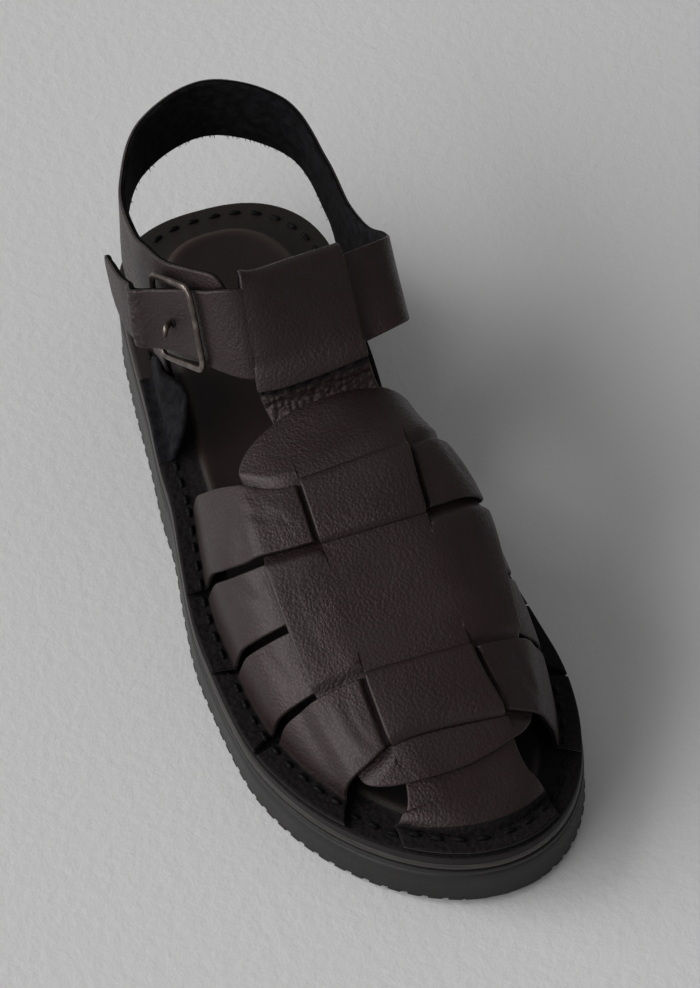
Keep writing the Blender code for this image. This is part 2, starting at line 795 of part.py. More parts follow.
def spaced(places, fixed):
    """Places and fixed ones in order, without a place too near another."""
    clear = 0.0058
    kept = []
    for place in places:
        if min(abs(place - other) for other in kept + list(fixed)) > clear:
            kept.append(place)
    return sorted(kept + list(fixed))


def weave_rows():
    """Places along the shoe, as shares, where the middle of the weave changes level."""
    rows = []
    ramp = WEAVE_RAMP / SHOE_LENGTH
    for name in ("a", "d"):
        back, front = strap_edges(name, 3.5)
        for edge, outward in ((back / SHOE_LENGTH, 1.0), (front / SHOE_LENGTH, -1.0)):
            rows += [edge, edge + outward * ramp / 2.0, edge + outward * ramp]
    return rows


def centre_columns(y):
    """The x of the centre strap's columns at y."""
    share = y / SHOE_LENGTH
    middle = float(smooth_table(CENTRE_ROWS, "y", "middle", share)) * BALL_WIDTH
    width = float(smooth_table(CENTRE_ROWS, "y", "width", share)) * CENTRE_STRAP_WIDTH
    return [middle + width * (column / 4.0 - 0.5) for column in range(5)]


def toe_edge_y(x, inset):
    """The y of the sole's toe edge at x, moved in by inset."""
    shares = np.linspace(0.80, 1.0, 200)
    xs, ys = [], []
    for side in (-1, 1):
        side_x, side_y = sole_side(shares, inset, side)
        order = slice(None) if side == -1 else slice(None, None, -1)
        xs.append(side_x[order])
        ys.append(side_y[order])
    return float(np.interp(x, np.concatenate(xs), np.concatenate(ys)))


def ring_point(place, width_share, lift=0.0):
    """A point on the ankle ring: width_share 0 is the top edge and 1 the low edge."""
    point = ring_raw(place, width_share)
    if lift == 0.0:
        return point
    step = 0.08
    along = ring_raw(place + step, width_share) - ring_raw(place - step, width_share)
    across = ring_raw(place, 1.0) - ring_raw(place, 0.0)
    return point + along.cross(across).normalized() * lift


def ring_raw(place, width_share):
    """Smooth closed curve through the ring's stations."""
    count = len(RING)
    base = int(np.floor(place))
    share = place - base
    weights = (
        (-share + 2.0 * share ** 2 - share ** 3) / 2.0,
        (2.0 - 5.0 * share ** 2 + 3.0 * share ** 3) / 2.0,
        (share + 4.0 * share ** 2 - 3.0 * share ** 3) / 2.0,
        (-share ** 2 + share ** 3) / 2.0,
    )
    scale = np.array([ANKLE_WIDTH, SHOE_LENGTH, ANKLE_HEIGHT])
    total = np.zeros(3)
    for offset, weight in enumerate(weights):
        row = RING[(base - 1 + offset) % count]
        top = np.array([row.top_x, row.top_y, row.top_z])
        low = np.array([row.low_x, row.low_y, row.low_z])
        total += weight * (top + (low - top) * width_share)
    return Vector(total * scale)


def leg_foot(leg, place):
    """The foot of a leg on the insole for a place along the ring."""
    share = (place - leg.start) / (leg.end - leg.start)
    y = (leg.foot_start + (leg.foot_end - leg.foot_start) * share) * SHOE_LENGTH
    return Vector((leg.foot_x * ANKLE_WIDTH, y, rim_height(y) + GAP))


def billet_value(place, column):
    """A column of the billet's table at a ring place."""
    return float(smooth_table(BILLET, "place", column, place))


def strap_row(place):
    """Points down the ankle strap's inner face at a ring place, with a leg below it."""
    shares = (0.0, 0.3, 0.65, 1.0)
    lift, top, low = 0.0, 0.0, 1.0
    if place >= BAND_START:
        lift = billet_value(place, "lift")
        top = billet_value(place, "top")
        low = billet_value(place, "low")
    if place < GUARD_START + 1.0:
        narrow = 0.30 * (1.0 - ramp_share(place - GUARD_START, 0.45))
        top, low = narrow, 1.0 - narrow
    row = [ring_point(place, top + (low - top) * share, lift) for share in shares]
    foot = None
    for leg in LEGS:
        if leg.start <= place <= leg.end:
            foot = leg_foot(leg, place)
    if foot is None:
        drop = (row[-1] - row[0]) * 0.01
        return row + [row[-1] + drop, row[-1] + drop * 2.0]
    return row + [row[-1].lerp(foot, 0.5), foot]


def strap_places():
    """Ring places of the strap's rows, with pairs of rows at the edges of each leg."""
    places = list(np.arange(GUARD_START, 2.0, 0.16))
    places += list(np.arange(2.0, BAND_START, 0.34))
    places += list(np.arange(BAND_START, TAIL_END, 0.30))
    places.append(TAIL_END)
    for leg in LEGS:
        places = [place for place in places if not leg.start - 0.1 < place < leg.end + 0.1]
        inside = list(np.linspace(leg.start, leg.end, 5))
        places += [leg.start - 0.03] + inside + [leg.end + 0.03]
    return sorted(places)


def build_ankle_strap():
    """Guard, back loop, two legs, front band and pointed free end in one leather strap."""
    rows = [strap_row(place) for place in strap_places()]
    outer = thicken(rows, STRAP_THICKNESS, turned=True)
    for row, outer_row in zip(rows, outer):
        # A leg's foot is cut level.
        if row[-1].z < row[3].z - STRAP_THICKNESS:
            outer_row[-1].z = row[-1].z
    strap = face_outward(solid_grid("ankle_strap", rows, outer, "strap_leather"))
    hole = build_prong("prong_hole", PRONG_WIRE / 2.0 + PRONG_PLAY)
    return combine(strap, [hole], "DIFFERENCE")


def band_edge(x, width_share):
    """The front band's inner face where it passes a given x."""
    places = np.linspace(14.5, 18.4, 80)
    xs = [ring_raw(place, width_share).x for place in places]
    order = np.argsort(xs)
    place = float(np.interp(x, np.array(xs)[order], places[order]))
    lift = billet_value(place, "lift") if place >= BAND_START else 0.0
    return ring_point(place, width_share, lift)


def centre_rows():
    """Inner-face rows of the centre strap from the toe edge to the instep."""
    rows = []
    for inset, share in ((EDGE_INSET, -0.5), (STITCH_MARGIN / 2.0, -0.48), (STITCH_MARGIN, -0.46)):
        row = []
        for x in centre_columns(share * SHOE_LENGTH):
            y = toe_edge_y(x, inset)
            row.append(Vector((x, y, rim_height(y) + GAP)))
        rows.append(row)
    fold = rows[-1]
    start = TOE_RISE_Y
    bulge = 0.0020
    toe_top = centre_on_form(start * SHOE_LENGTH)
    for share in (0.3, 0.65):
        row = [low.lerp(high, share) for low, high in zip(fold, toe_top)]
        for point in row:
            point += Vector((0.0, -0.4, 0.9)) * bulge * sin(pi * share)
        rows.append(row)
    for share in spaced(list(np.linspace(start, 0.0, 20)), weave_rows()):
        rows.append(centre_on_form(share * SHOE_LENGTH))
    return rows


def centre_on_form(y):
    """One row of the centre strap on the foot form."""
    row = []
    for x in centre_columns(y):
        station = station_at(x, y)
        hidden = max(under_strap("a", station, y), under_strap("d", station, y))
        row.append(form_point(station, y) + form_normal(station, y) * 2.0 * LAYER_RISE * hidden)
    return row


def loop_frames():
    """Low edge, top edge, up and forward directions of the band behind the loop."""
    frames = []
    for x in centre_columns(CENTRE_ROWS[-1].y * SHOE_LENGTH):
        low = band_edge(x, 1.0)
        top = band_edge(x, 0.0)
        up = (top - low).normalized()
        frames.append((low, top, up, up.cross(Vector((-1.0, 0.0, 0.0))).normalized()))
    return frames


def loop_rows(frames):
    """Inner-face rows of the loop: up the band's front, over its top and down behind it."""
    clear = STRAP_THICKNESS + LOOP_CLEARANCE
    rows = []
    for share in (-0.12, 0.2, 0.6, 1.0):
        rows.append([low.lerp(top, share) + out * clear for low, top, up, out in frames])
    middle = (clear - LOOP_CLEARANCE) / 2.0
    radius = (clear + LOOP_CLEARANCE) / 2.0
    for turn in (0.25, 0.5, 0.75):
        angle = pi * turn
        rows.append([top + out * (middle + radius * cos(angle)) + up * (LOOP_CLEARANCE + radius * sin(angle))
                     for low, top, up, out in frames])
    for share in (1.0, 0.5, -0.12):
        rows.append([low.lerp(top, share) - out * LOOP_CLEARANCE for low, top, up, out in frames])
    return rows


def build_centre_strap():
    """Centre strap from the toe edge to the loop round the front band."""
    rows = centre_rows()
    frames = loop_frames()
    loop = loop_rows(frames)
    bow = 0.0030
    rise = []
    for share in (0.3, 0.6, 0.85):
        row = [low.lerp(high, share) for low, high in zip(rows[-1], loop[0])]
        for point in row:
            point += Vector((0.0, 0.8, -0.6)) * bow * sin(pi * share)
        rise.append(row)
    main = ribbon("centre_strap", rows + rise + loop, "strap_leather")
    seam_start = [low.lerp(top, -0.05) - out * (LOOP_CLEARANCE + 0.5 * STRAP_THICKNESS)
                  for low, top, up, out in frames]
    seam_end = [low.lerp(top, -0.07) + out * (1.5 * STRAP_THICKNESS + LOOP_CLEARANCE)
                for low, top, up, out in frames]
    for row in (seam_start, seam_end):
        row[0] += (row[1] - row[0]) * 0.12
        row[-1] += (row[-2] - row[-1]) * 0.12
    seam = ribbon("loop_seam", [seam_start, seam_end], "strap_leather", 0.5 * STRAP_THICKNESS)
    return [main, seam]


def build_upper():
    """The woven vamp as one leather wall with its strips raised."""
    panel = build_panel()
    others = []
    for name in CROSS_STRAPS:
        others += cross_strap(name)
    others += build_centre_strap()
    panel.name = "upper"
    return combine(panel, others, "UNION")


def build_tab(name):
    """A round suede tab that stands on the stitched edge and leans in over a leg."""
    tab = TABS[name]
    middle = (tab.back + tab.front) / 2.0 * SHOE_LENGTH
    half = (tab.back - tab.front) / 2.0 * SHOE_LENGTH
    columns = []
    for turn in np.linspace(radians(12.0), radians(168.0), 17):
        y = middle + half * cos(turn)
        height = TAB_HEIGHT * sin(turn) ** 0.8
        base = rim_height(y) + GAP
        fold = sole_x(y, TAB_MARGIN, tab.side)
        column = [Vector((sole_x(y, EDGE_INSET, tab.side), y, base)), Vector((fold, y, base))]
        for share in (0.3, 0.65, 1.0):
            lean = tab.lean * share ** 1.4 * height / TAB_HEIGHT
            rise = max(height, 3.0 * TAB_THICKNESS) * share
            column.append(Vector((fold - tab.side * lean, y, base + rise)))
        columns.append(column)
    rows = [list(row) for row in zip(*columns)]
    return ribbon(name, rows, "suede", TAB_THICKNESS, turned=tab.side == 1)


def wire(name, path, radius, material, closed, sides=8):
    """A round wire along a path, as one closed tube."""
    path = [Vector(point) for point in path]
    count = len(path)
    points, faces = [], []
    centre = sum(path, Vector()) / count
    for step, point in enumerate(path):
        ahead = path[(step + 1) % count] if closed or step < count - 1 else point
        behind = path[step - 1] if closed or step > 0 else point
        tangent = (ahead - behind).normalized()
        side = plane_normal(path)
        other = tangent.cross(side).normalized()
        for turn in range(sides):
            angle = 2.0 * pi * turn / sides
            points.append(point + (side * cos(angle) + other * sin(angle)) * radius)
    segments = count if closed else count - 1
    for step in range(segments):
        following = (step + 1) % count
        for turn in range(sides):
            after = (turn + 1) % sides
            faces.append([step * sides + turn, step * sides + after,
                          following * sides + after, following * sides + turn])
    if not closed:
        faces.append([turn for turn in reversed(range(sides))])
        faces.append([(count - 1) * sides + turn for turn in range(sides)])
    return face_outward(add_object(name, points, faces, material))


def plane_normal(path):
    """Normal of the plane that a path lies in, roughly."""
    centre = sum(path, Vector()) / len(path)
    total = Vector()
    for first, second in zip(path, path[1:]):
        total += (first - centre).cross(second - centre)
    return total.normalized()


def buckle_corners():
    """The four corners of the buckle's wire: front top, front low, rear low, rear top."""
    return [
        ring_point(BUCKLE_FRONT_PLACE, BUCKLE_TOP, FREE_BAR_LIFT),
        ring_point(BUCKLE_FRONT_PLACE, BUCKLE_LOW, FREE_BAR_LIFT),
        ring_point(BUCKLE_REAR_PLACE, BUCKLE_LOW, HINGE_BAR_LIFT),
        ring_point(BUCKLE_REAR_PLACE, BUCKLE_TOP, HINGE_BAR_LIFT),
    ]


def build_buckle_frame():
    """Rectangular wire frame with round corners."""
    corners = buckle_corners()
    round_share = 0.16
    path = []
    for step, corner in enumerate(corners):
        before = corners[step - 1]
        after = corners[(step + 1) % 4]
        start = corner.lerp(before, round_share)
        end = corner.lerp(after, round_share)
        for share in (0.0, 0.25, 0.5, 0.75, 1.0):
            path.append(start * (1 - share) ** 2 + corner * 2 * share * (1 - share) + end * share ** 2)
    return wire("buckle_frame", path, BUCKLE_WIRE / 2.0, "dark_metal", closed=True)


def build_prong(name, radius):
    """The prong's bent wire, or at a larger radius the hole that it passes through."""
    path = [ring_point(point.place, point.share, point.lift) for point in PRONG]
    return wire(name, path, radius, "dark_metal", closed=False)


def build_all():
    """Every sub-part of the sandal."""
    build_outsole()
    build_midsole()
    build_insole()
    build_upper()
    build_ankle_strap()
    for name in TABS:
        build_tab(name)
    build_buckle_frame()
    build_prong("buckle_prong", PRONG_WIRE / 2.0)


clear_scene()
MATERIALS = {name: make_material(name) for name in FINISHES}
build_all()
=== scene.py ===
# %% [markdown]
# # A woven leather sandal, dressed in Blender
# This lesson dresses the right shoe of a pair of fisherman sandals. The solids that come from the
# CAD step are plain walls. Here each strap becomes its own sheet of leather with a grain side, a
# cut edge and a rough flesh side, and the straps pass over and under each other as a maker lays
# them. Toe is at -Y, the outer side at -X and up is +Z, in metres.

# %% Load the CAD model
from collections import namedtuple
from math import cos, pi, radians, sin

import bpy
import numpy as np
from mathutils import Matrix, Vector, kdtree, noise


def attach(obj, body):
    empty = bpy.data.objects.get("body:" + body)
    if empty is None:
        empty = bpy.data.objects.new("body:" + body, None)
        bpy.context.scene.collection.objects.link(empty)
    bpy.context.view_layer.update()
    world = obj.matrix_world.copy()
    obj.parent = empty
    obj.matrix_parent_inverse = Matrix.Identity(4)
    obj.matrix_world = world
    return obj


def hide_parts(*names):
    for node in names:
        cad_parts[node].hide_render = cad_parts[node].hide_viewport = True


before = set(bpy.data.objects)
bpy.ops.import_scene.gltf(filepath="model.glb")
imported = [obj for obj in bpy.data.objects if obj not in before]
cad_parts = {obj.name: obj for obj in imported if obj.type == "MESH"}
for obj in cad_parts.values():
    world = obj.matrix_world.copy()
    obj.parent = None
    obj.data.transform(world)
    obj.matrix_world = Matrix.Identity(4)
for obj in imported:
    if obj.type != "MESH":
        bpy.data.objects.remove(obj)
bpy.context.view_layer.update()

# %% [markdown]
# ## The camera
# The photograph was taken from in front and above with a long lens. The position below was worked
# out from the two shoes standing on one floor. The camera turns towards this one shoe the shortest
# way, so the shoe keeps the photograph's angle and the small lean of its upright lines.

# %% Place the camera
CAMERA_PLACE = Vector((-0.2757, -1.0025, 1.1552))
PHOTO_AIM = Vector((0.2406, 0.6367, -0.7325))
SHOE_MIDDLE = Vector((0.010, -0.0075, 0.040))
LENS = 266.0

lens = bpy.data.cameras.new("camera")
lens.lens = LENS
lens.sensor_fit = "HORIZONTAL"
lens.sensor_width = 36.0
camera = bpy.data.objects.new("camera", lens)
bpy.context.collection.objects.link(camera)
level = PHOTO_AIM.to_track_quat("-Z", "Y")
turn = PHOTO_AIM.rotation_difference(SHOE_MIDDLE - CAMERA_PLACE)
camera.rotation_mode = "QUATERNION"
camera.rotation_quaternion = turn @ level
camera.location = CAMERA_PLACE
bpy.context.scene.camera = camera
bpy.context.scene.view_settings.view_transform = "Standard"
print("camera", round((SHOE_MIDDLE - CAMERA_PLACE).length, 3), "m from the shoe")

# %% [markdown]
# ## Sizes
# The sheets follow the same named sizes as the CAD model, so they sit where its walls are.

# %% Named sizes
SHOE_LENGTH = 0.272
BALL_WIDTH = 0.098
HEEL_RIM_HEIGHT = 0.028
FOREFOOT_RIM_HEIGHT = 0.0182
TOE_SPRING = 0.0026
MIDSOLE_THICKNESS = 0.0024
INSOLE_THICKNESS = 0.0030
SOLE_FLARE = 0.0010
LUG_PITCH = 0.0056
LUG_WIDTH = 0.0034
LUG_DEPTH = 0.0015
LEATHER = 0.0020
LAYER = 0.0021
STITCH_MARGIN = 0.0080
STITCH_INSET = 0.0052
VAMP_HEIGHT = 0.0470
CENTRE_STRAP_WIDTH = 0.0310
ANKLE_WIDTH = 0.0780
ANKLE_HEIGHT = 0.1010
TAB_HEIGHT = 0.0180
TAB_MARGIN = 0.0042
BUCKLE_WIRE = 0.0022
PRONG_WIRE = 0.0020
GAP = 0.0003

# %% [markdown]
# ## Shader maths as expressions
# A material is a chain of nodes. Written as Python, a wrapped socket can be added, multiplied and
# mixed like a number, and each operator adds the Math node that it needs.


# %% A socket that can be used in sums
class Socket:
    """A value or colour in a material, with operators that add nodes."""

    def __init__(self, shader, socket):
        self.shader = shader
        self.socket = socket

    def math(self, operation, *others):
        links = {index: value for index, value in enumerate((self, *others))}
        return self.shader.node("ShaderNodeMath", {"operation": operation}, links)[0]

    def __add__(self, other):
        return self.math("ADD", other)

    __radd__ = __add__

    def __sub__(self, other):
        return self.math("SUBTRACT", other)

    def __rsub__(self, other):
        return (self * -1.0) + other

    def __mul__(self, other):
        return self.math("MULTIPLY", other)

    __rmul__ = __mul__


class Shader:
    """One Principled material that is built from expressions."""

    def __init__(self, name):
        self.material = bpy.data.materials.new(name)
        self.material.use_nodes = True
        self.tree = self.material.node_tree
        self.base = self.tree.nodes["Principled BSDF"]

    def node(self, kind, settings, values):
        """Add a node; returns its outputs by number and name."""
        made = self.tree.nodes.new(kind)
        for key, value in settings.items():
            if key == "stops":
                ramp = made.color_ramp
                while len(ramp.elements) < len(value):
                    ramp.elements.new(0.5)
                for element, (place, colour) in zip(ramp.elements, value):
                    element.position = place
                    element.color = colour
            else:
                setattr(made, key, value)
        for key, value in values.items():
            if isinstance(value, Socket):
                self.tree.links.new(value.socket, made.inputs[key])
            else:
                made.inputs[key].default_value = value
        return Outputs(self, made)

    def place(self):
        """Position on the object, in metres."""
        return self.node("ShaderNodeTexCoord", {}, {})["Object"]

    def stretched(self, scale):
        """Position with each axis scaled."""
        return self.node("ShaderNodeMapping", {}, {"Vector": self.place(), "Scale": scale})[0]

    def noise(self, scale, detail=3.0, roughness=0.5, vector=None):
        """Soft noise from 0 to 1; scale is in waves per metre."""
        values = {"Vector": vector or self.place(), "Scale": scale, "Detail": detail,
                  "Roughness": roughness}
        return self.node("ShaderNodeTexNoise", {}, values)["Fac"]

    def cells(self, scale, smoothness):
        """Distance inside rounded cells, for grain."""
        values = {"Vector": self.place(), "Scale": scale, "Smoothness": smoothness}
        return self.node("ShaderNodeTexVoronoi", {"feature": "SMOOTH_F1"}, values)["Distance"]

    def span(self, value, low, high, to_low=0.0, to_high=1.0):
        """Ease a value from one range to another."""
        values = {"Value": value, "From Min": low, "From Max": high,
                  "To Min": to_low, "To Max": to_high}
        return self.node("ShaderNodeMapRange", {"interpolation_type": "SMOOTHSTEP"}, values)[0]

    def blend(self, mask, *colours):
        """Mix two colours, each a link or red, green and blue."""
        first, second = (row if isinstance(row, Socket) else (*row, 1.0) for row in colours)
        return self.node("ShaderNodeMix", {"data_type": "RGBA"}, {"Factor": mask, 6: first, 7: second})[2]

    def tint(self, value, low, high, dark, pale):
        """Colour that eases from dark to pale while a value rises from low to high."""
        return self.blend(self.span(value, low, high), dark, pale)

    def painted(self, name):
        """A value stored on the mesh's points."""
        return self.node("ShaderNodeAttribute", {"attribute_name": name}, {})["Fac"]

    def bump(self, height, distance, strength):
        """A bump from a height."""
        values = {"Height": height, "Distance": distance, "Strength": strength}
        return self.node("ShaderNodeBump", {}, values)[0]

    def set(self, **values):
        """Set or link sockets of the Principled shader."""
        for key, value in values.items():
            socket = self.base.inputs[key.replace("_", " ")]
            if isinstance(value, Socket):
                self.tree.links.new(value.socket, socket)
            else:
                socket.default_value = value
        return self.material


class Outputs:
    """A node's outputs, wrapped when they are asked for."""

    def __init__(self, shader, made):
        self.shader = shader
        self.made = made

    def __getitem__(self, key):
        return Socket(self.shader, self.made.outputs[key])


print("shader helpers ready")


# %% [markdown]
# ## The strap leather's grain side
# The real hide is espresso brown, nearly black, with a fine pebbled grain that shows where light
# rakes over the shoulders of the straps. Rounded cells of about a millimetre make the pebbles, and
# soft noise breaks them up. Three values painted on the mesh tell where the leather is rubbed, where
# it is the coarse flesh side and where painted shade turns a ditch or a seam line black.

# %% Grain side
PORE_BLACK = (0.0070, 0.0048, 0.0046)
RUBBED = (0.0060, 0.0048, 0.0052)
SLOT_SHADE_COLOUR = (0.0008, 0.0007, 0.0008)


def grain_leather():
    """Pebbled dark brown leather with soft gloss."""
    shader = Shader("grain_leather")
    warp = shader.noise(60.0, 2.0)
    pebble, coarse = shader.cells(1080.0, 0.35), shader.cells(520.0, 0.45)
    pore = shader.noise(2600.0, 2.0, 0.6)
    patch = shader.noise(45.0, 3.0, 0.55)
    cloud = shader.noise(16.0, 4.0, 0.6)
    rough, pits, ink = (shader.painted(name) for name in ("rough", "coarse", "ink"))
    colour = shader.tint(cloud, 0.30, 0.72, (0.0105, 0.0046, 0.0049), (0.0190, 0.0082, 0.0082))
    colour = shader.blend(shader.span(pebble, 0.30, 0.62) * 0.40, colour, PORE_BLACK)
    colour = shader.blend(rough * 0.80, colour, RUBBED)
    # Painted shade: the ditches beside the centre strap and the line before the fold's seam turn near black.
    colour = shader.blend(ink, colour, SLOT_SHADE_COLOUR)
    gloss = shader.span(patch, 0.3, 0.7, 0.36, 0.49) + shader.span(pebble, 0.25, 0.6) * 0.12 + rough * 0.30
    gloss = gloss + ink * 0.5
    amount = shader.span(warp, 0.25, 0.75, 0.45, 1.0)
    height = (1.0 - pebble) * amount + pore * 0.18 + (1.0 - coarse) * 0.22 * amount
    height = height + rough * pore * 1.2 + pits * (pore * 0.6 - coarse * 4.0)
    # Fine wrinkles run along the outer shoulder, where the straps bend most.
    x = shader.node("ShaderNodeSeparateXYZ", {}, {"Vector": shader.place()})["X"]
    shoulder = shader.span(x, -0.033, -0.025) * (1.0 - shader.span(x, -0.016, -0.008))
    fold = (shader.noise(1.0, 3.0, 0.5, shader.stretched((620.0, 190.0, 190.0))) - 0.5).math("ABSOLUTE")
    broken = shader.span(shader.noise(110.0, 2.0), 0.42, 0.62)
    height = height - shoulder * broken * (1.0 - shader.span(fold, 0.0, 0.05)) * 0.40
    coat = shader.span(patch, 0.35, 0.75, 0.06, 0.24) * (1.0 - rough) * (1.0 - ink)
    return shader.set(Base_Color=colour, Roughness=gloss, Normal=shader.bump(height, 0.00023, 0.85),
                      Coat_Weight=coat, Coat_Roughness=0.28, Specular_IOR_Level=0.43,
                      Specular_Tint=(1.0, 0.84, 0.87, 1.0))


GRAIN = grain_leather()
print("made", GRAIN.name)

# %% [markdown]
# ## Cut edges, the flesh side and trodden flanges
# A cut edge is dyed and waxed black and made darker still with painted shade, so it stays black
# under any light, and a thin pale rim where the grain side breaks is a painted highlight that shows
# as a line. The flesh side is suede, a rough nap that scatters light and looks bluish black beside
# the brown grain. The flanges on the margin are black and coarse.


# %% Edge, flesh and flange
def cut_edge():
    """Waxed cut edge of dyed leather, darkened with painted shade, under a pale rim of painted highlight."""
    shader = Shader("cut_edge")
    fibre = shader.noise(1500.0, 4.0, 0.7)
    patch = shader.noise(120.0, 2.0)
    # The pale rim at the top of every wall is a painted highlight; below it the black is dye and painted
    # shade.
    rim = shader.span(shader.painted("height"), 0.72, 0.92)
    colour = shader.blend(rim * shader.span(fibre, 0.2, 0.6, 0.4, 1.0), (0.0016, 0.0014, 0.0015),
                          (0.110, 0.106, 0.098))
    return shader.set(Base_Color=colour, Roughness=shader.span(patch, 0.3, 0.7, 0.70, 0.85),
                      Specular_IOR_Level=0.04, Normal=shader.bump(fibre, 0.00025, 0.8))


def suede():
    """Rough flesh side with a nap."""
    shader = Shader("suede")
    nap = shader.noise(1300.0, 5.0, 0.75)
    clump = shader.noise(330.0, 3.0, 0.6)
    colour = shader.tint(clump + nap * 0.5, 0.55, 1.0, (0.0036, 0.0034, 0.0043), (0.0150, 0.0138, 0.0160))
    return shader.set(Base_Color=colour, Roughness=shader.span(nap, 0.2, 0.8, 0.85, 1.0),
                      Specular_IOR_Level=0.12, Normal=shader.bump(nap + clump * 0.7, 0.00050, 0.9))


def flange_leather():
    """The straps' trodden ends and the front margin, black and coarse."""
    shader = Shader("flange_leather")
    nap = shader.noise(900.0, 4.0, 0.7)
    pit = shader.cells(520.0, 0.5)
    colour = shader.tint(nap, 0.3, 0.75, (0.0044, 0.0036, 0.0038), (0.0150, 0.0118, 0.0120))
    return shader.set(Base_Color=colour, Roughness=shader.span(nap, 0.2, 0.8, 0.70, 0.90),
                      Specular_IOR_Level=0.14, Normal=shader.bump(nap - pit, 0.00045, 0.9))


EDGE, SUEDE, FLANGE = cut_edge(), suede(), flange_leather()
print("made", EDGE.name, SUEDE.name, FLANGE.name)

# %% [markdown]
# ## Insole, rubber, thread, metal
# The insole is a smoother brown leather, polished by the last. The rubber is satin with a little
# dust. The thread is waxed and black. The buckle is a dark bronzed wire, rubbed a little brighter in
# places.


# %% Other finishes
def insole_leather():
    """Smooth brown leather, darker in its stitched margin, with a painted highlight along the footbed's
    ridge.
    """
    shader = Shader("insole_leather")
    cloud = shader.noise(22.0, 4.0, 0.6)
    pore = shader.noise(1700.0, 3.0, 0.65)
    rough, line = shader.painted("rough"), shader.painted("line")
    colour = shader.tint(cloud, 0.3, 0.7, (0.0105, 0.0044, 0.0042), (0.0190, 0.0085, 0.0074))
    colour = shader.blend(rough * 0.85, colour, (0.0036, 0.0028, 0.0030))
    # Painted highlight: a pale line along the footbed's raised ridge.
    colour = shader.blend(line * 0.65, colour, (0.060, 0.042, 0.035))
    return shader.set(Base_Color=colour, Roughness=shader.span(cloud, 0.3, 0.7, 0.42, 0.56) + rough * 0.22,
                      Specular_IOR_Level=0.38, Normal=shader.bump(pore + rough * pore * 1.5, 0.00016, 0.7))


def rubber():
    """Satin black rubber with a little dust."""
    shader = Shader("rubber")
    cloud = shader.noise(30.0, 3.0)
    speck = shader.noise(1200.0, 3.0, 0.6)
    dust = shader.noise(90.0, 4.0, 0.65)
    colour = shader.tint(cloud, 0.3, 0.7, (0.0085, 0.0076, 0.0073), (0.0155, 0.0138, 0.0132))
    colour = shader.blend(shader.span(dust, 0.55, 0.8) * 0.20, colour, (0.045, 0.040, 0.037))
    return shader.set(Base_Color=colour, Roughness=shader.span(speck, 0.3, 0.7, 0.42, 0.55),
                      Specular_IOR_Level=0.38, Normal=shader.bump(speck, 0.00012, 0.5))


def welt():
    """Burnished brown edge between rubber and insole."""
    shader = Shader("welt")
    streak = shader.noise(300.0, 3.0, 0.6, shader.stretched((0.25, 0.25, 3.0)))
    colour = shader.tint(streak, 0.3, 0.7, (0.0150, 0.0125, 0.0120), (0.0360, 0.0310, 0.0290))
    return shader.set(Base_Color=colour, Roughness=shader.span(streak, 0.3, 0.7, 0.30, 0.44),
                      Normal=shader.bump(streak, 0.00010, 0.5))


def thread():
    """Waxed black thread with its twist."""
    shader = Shader("thread")
    twist = shader.node("ShaderNodeTexWave", {"bands_direction": "DIAGONAL"},
                        {"Vector": shader.place(), "Scale": 420.0, "Distortion": 0.5})["Fac"]
    colour = shader.blend(twist, (0.0012, 0.0011, 0.0013), (0.0045, 0.0041, 0.0044))
    return shader.set(Base_Color=colour, Roughness=shader.span(twist, 0.0, 1.0, 0.50, 0.70),
                      Specular_IOR_Level=0.12, Normal=shader.bump(twist, 0.00012, 0.6))


def bronzed_wire():
    """Dark bronzed metal, rubbed brighter in places."""
    shader = Shader("bronzed_wire")
    rub = shader.noise(260.0, 4.0, 0.6)
    grain = shader.noise(2400.0, 2.0, 0.5)
    colour = shader.tint(rub, 0.40, 0.70, (0.090, 0.073, 0.064), (0.200, 0.166, 0.146))
    return shader.set(Base_Color=colour, Metallic=0.9, Normal=shader.bump(grain, 0.00004, 0.5),
                      Roughness=shader.span(rub + grain * 0.2, 0.3, 0.9, 0.40, 0.26))


INSOLE, RUBBER, WELT, THREAD, METAL = insole_leather(), rubber(), welt(), thread(), bronzed_wire()
print("made", INSOLE.name, RUBBER.name, WELT.name, THREAD.name, METAL.name)

# %% [markdown]
# ## Tables and curves
# Lengths along the shoe come from short tables of shares. A monotone curve runs through each
# table without overshoot, so an edge never bulges between two rows.


# %% Curves through tables
def table(row, lines):
    """Rows with named columns."""
    return [row(*line) for line in lines]


def smooth_values(places, values, where):
    """Monotone cubic through values, with one slope per place."""
    places = np.asarray(places, float)
    values = np.asarray(values, float)
    steps = np.diff(places)
    slopes = np.diff(values) / steps
    tangents = np.empty_like(values)
    tangents[0] = slopes[0]
    tangents[-1] = slopes[-1]
    product = slopes[:-1] * slopes[1:]
    total = slopes[:-1] + slopes[1:]
    safe = np.where(np.abs(total) > 1e-12, total, 1.0)
    tangents[1:-1] = np.where(product > 0.0, 2.0 * product / safe, 0.0)
    where = np.clip(np.asarray(where, float), places[0], places[-1])
    index = np.clip(np.searchsorted(places, where) - 1, 0, len(steps) - 1)
    share = (where - places[index]) / steps[index]
    h00 = 2.0 * share ** 3 - 3.0 * share ** 2 + 1.0
    h10 = share ** 3 - 2.0 * share ** 2 + share
    h11 = share ** 3 - share ** 2
    near = h00 * values[index] + h10 * steps[index] * tangents[index]
    return near + (1.0 - h00) * values[index + 1] + h11 * steps[index] * tangents[index + 1]


def column(rows, name):
    """One column of a table."""
    return [getattr(row, name) for row in rows]


def look_up(rows, key, name, where):
    """Smooth value of one column of a table at a place."""
    return smooth_values(column(rows, key), column(rows, name), where)


def ease(low, high, value):
    """0 below low, 1 above high and a soft ramp between."""
    share = np.clip((value - low) / (high - low), 0.0, 1.0)
    return share * share * (3.0 - 2.0 * share)


print("curve helpers ready")

# %% [markdown]
# ## The sole's outline
# A right foot: the inner side bulges at the ball, the outer side runs straighter, and the toe is
# broad and round.

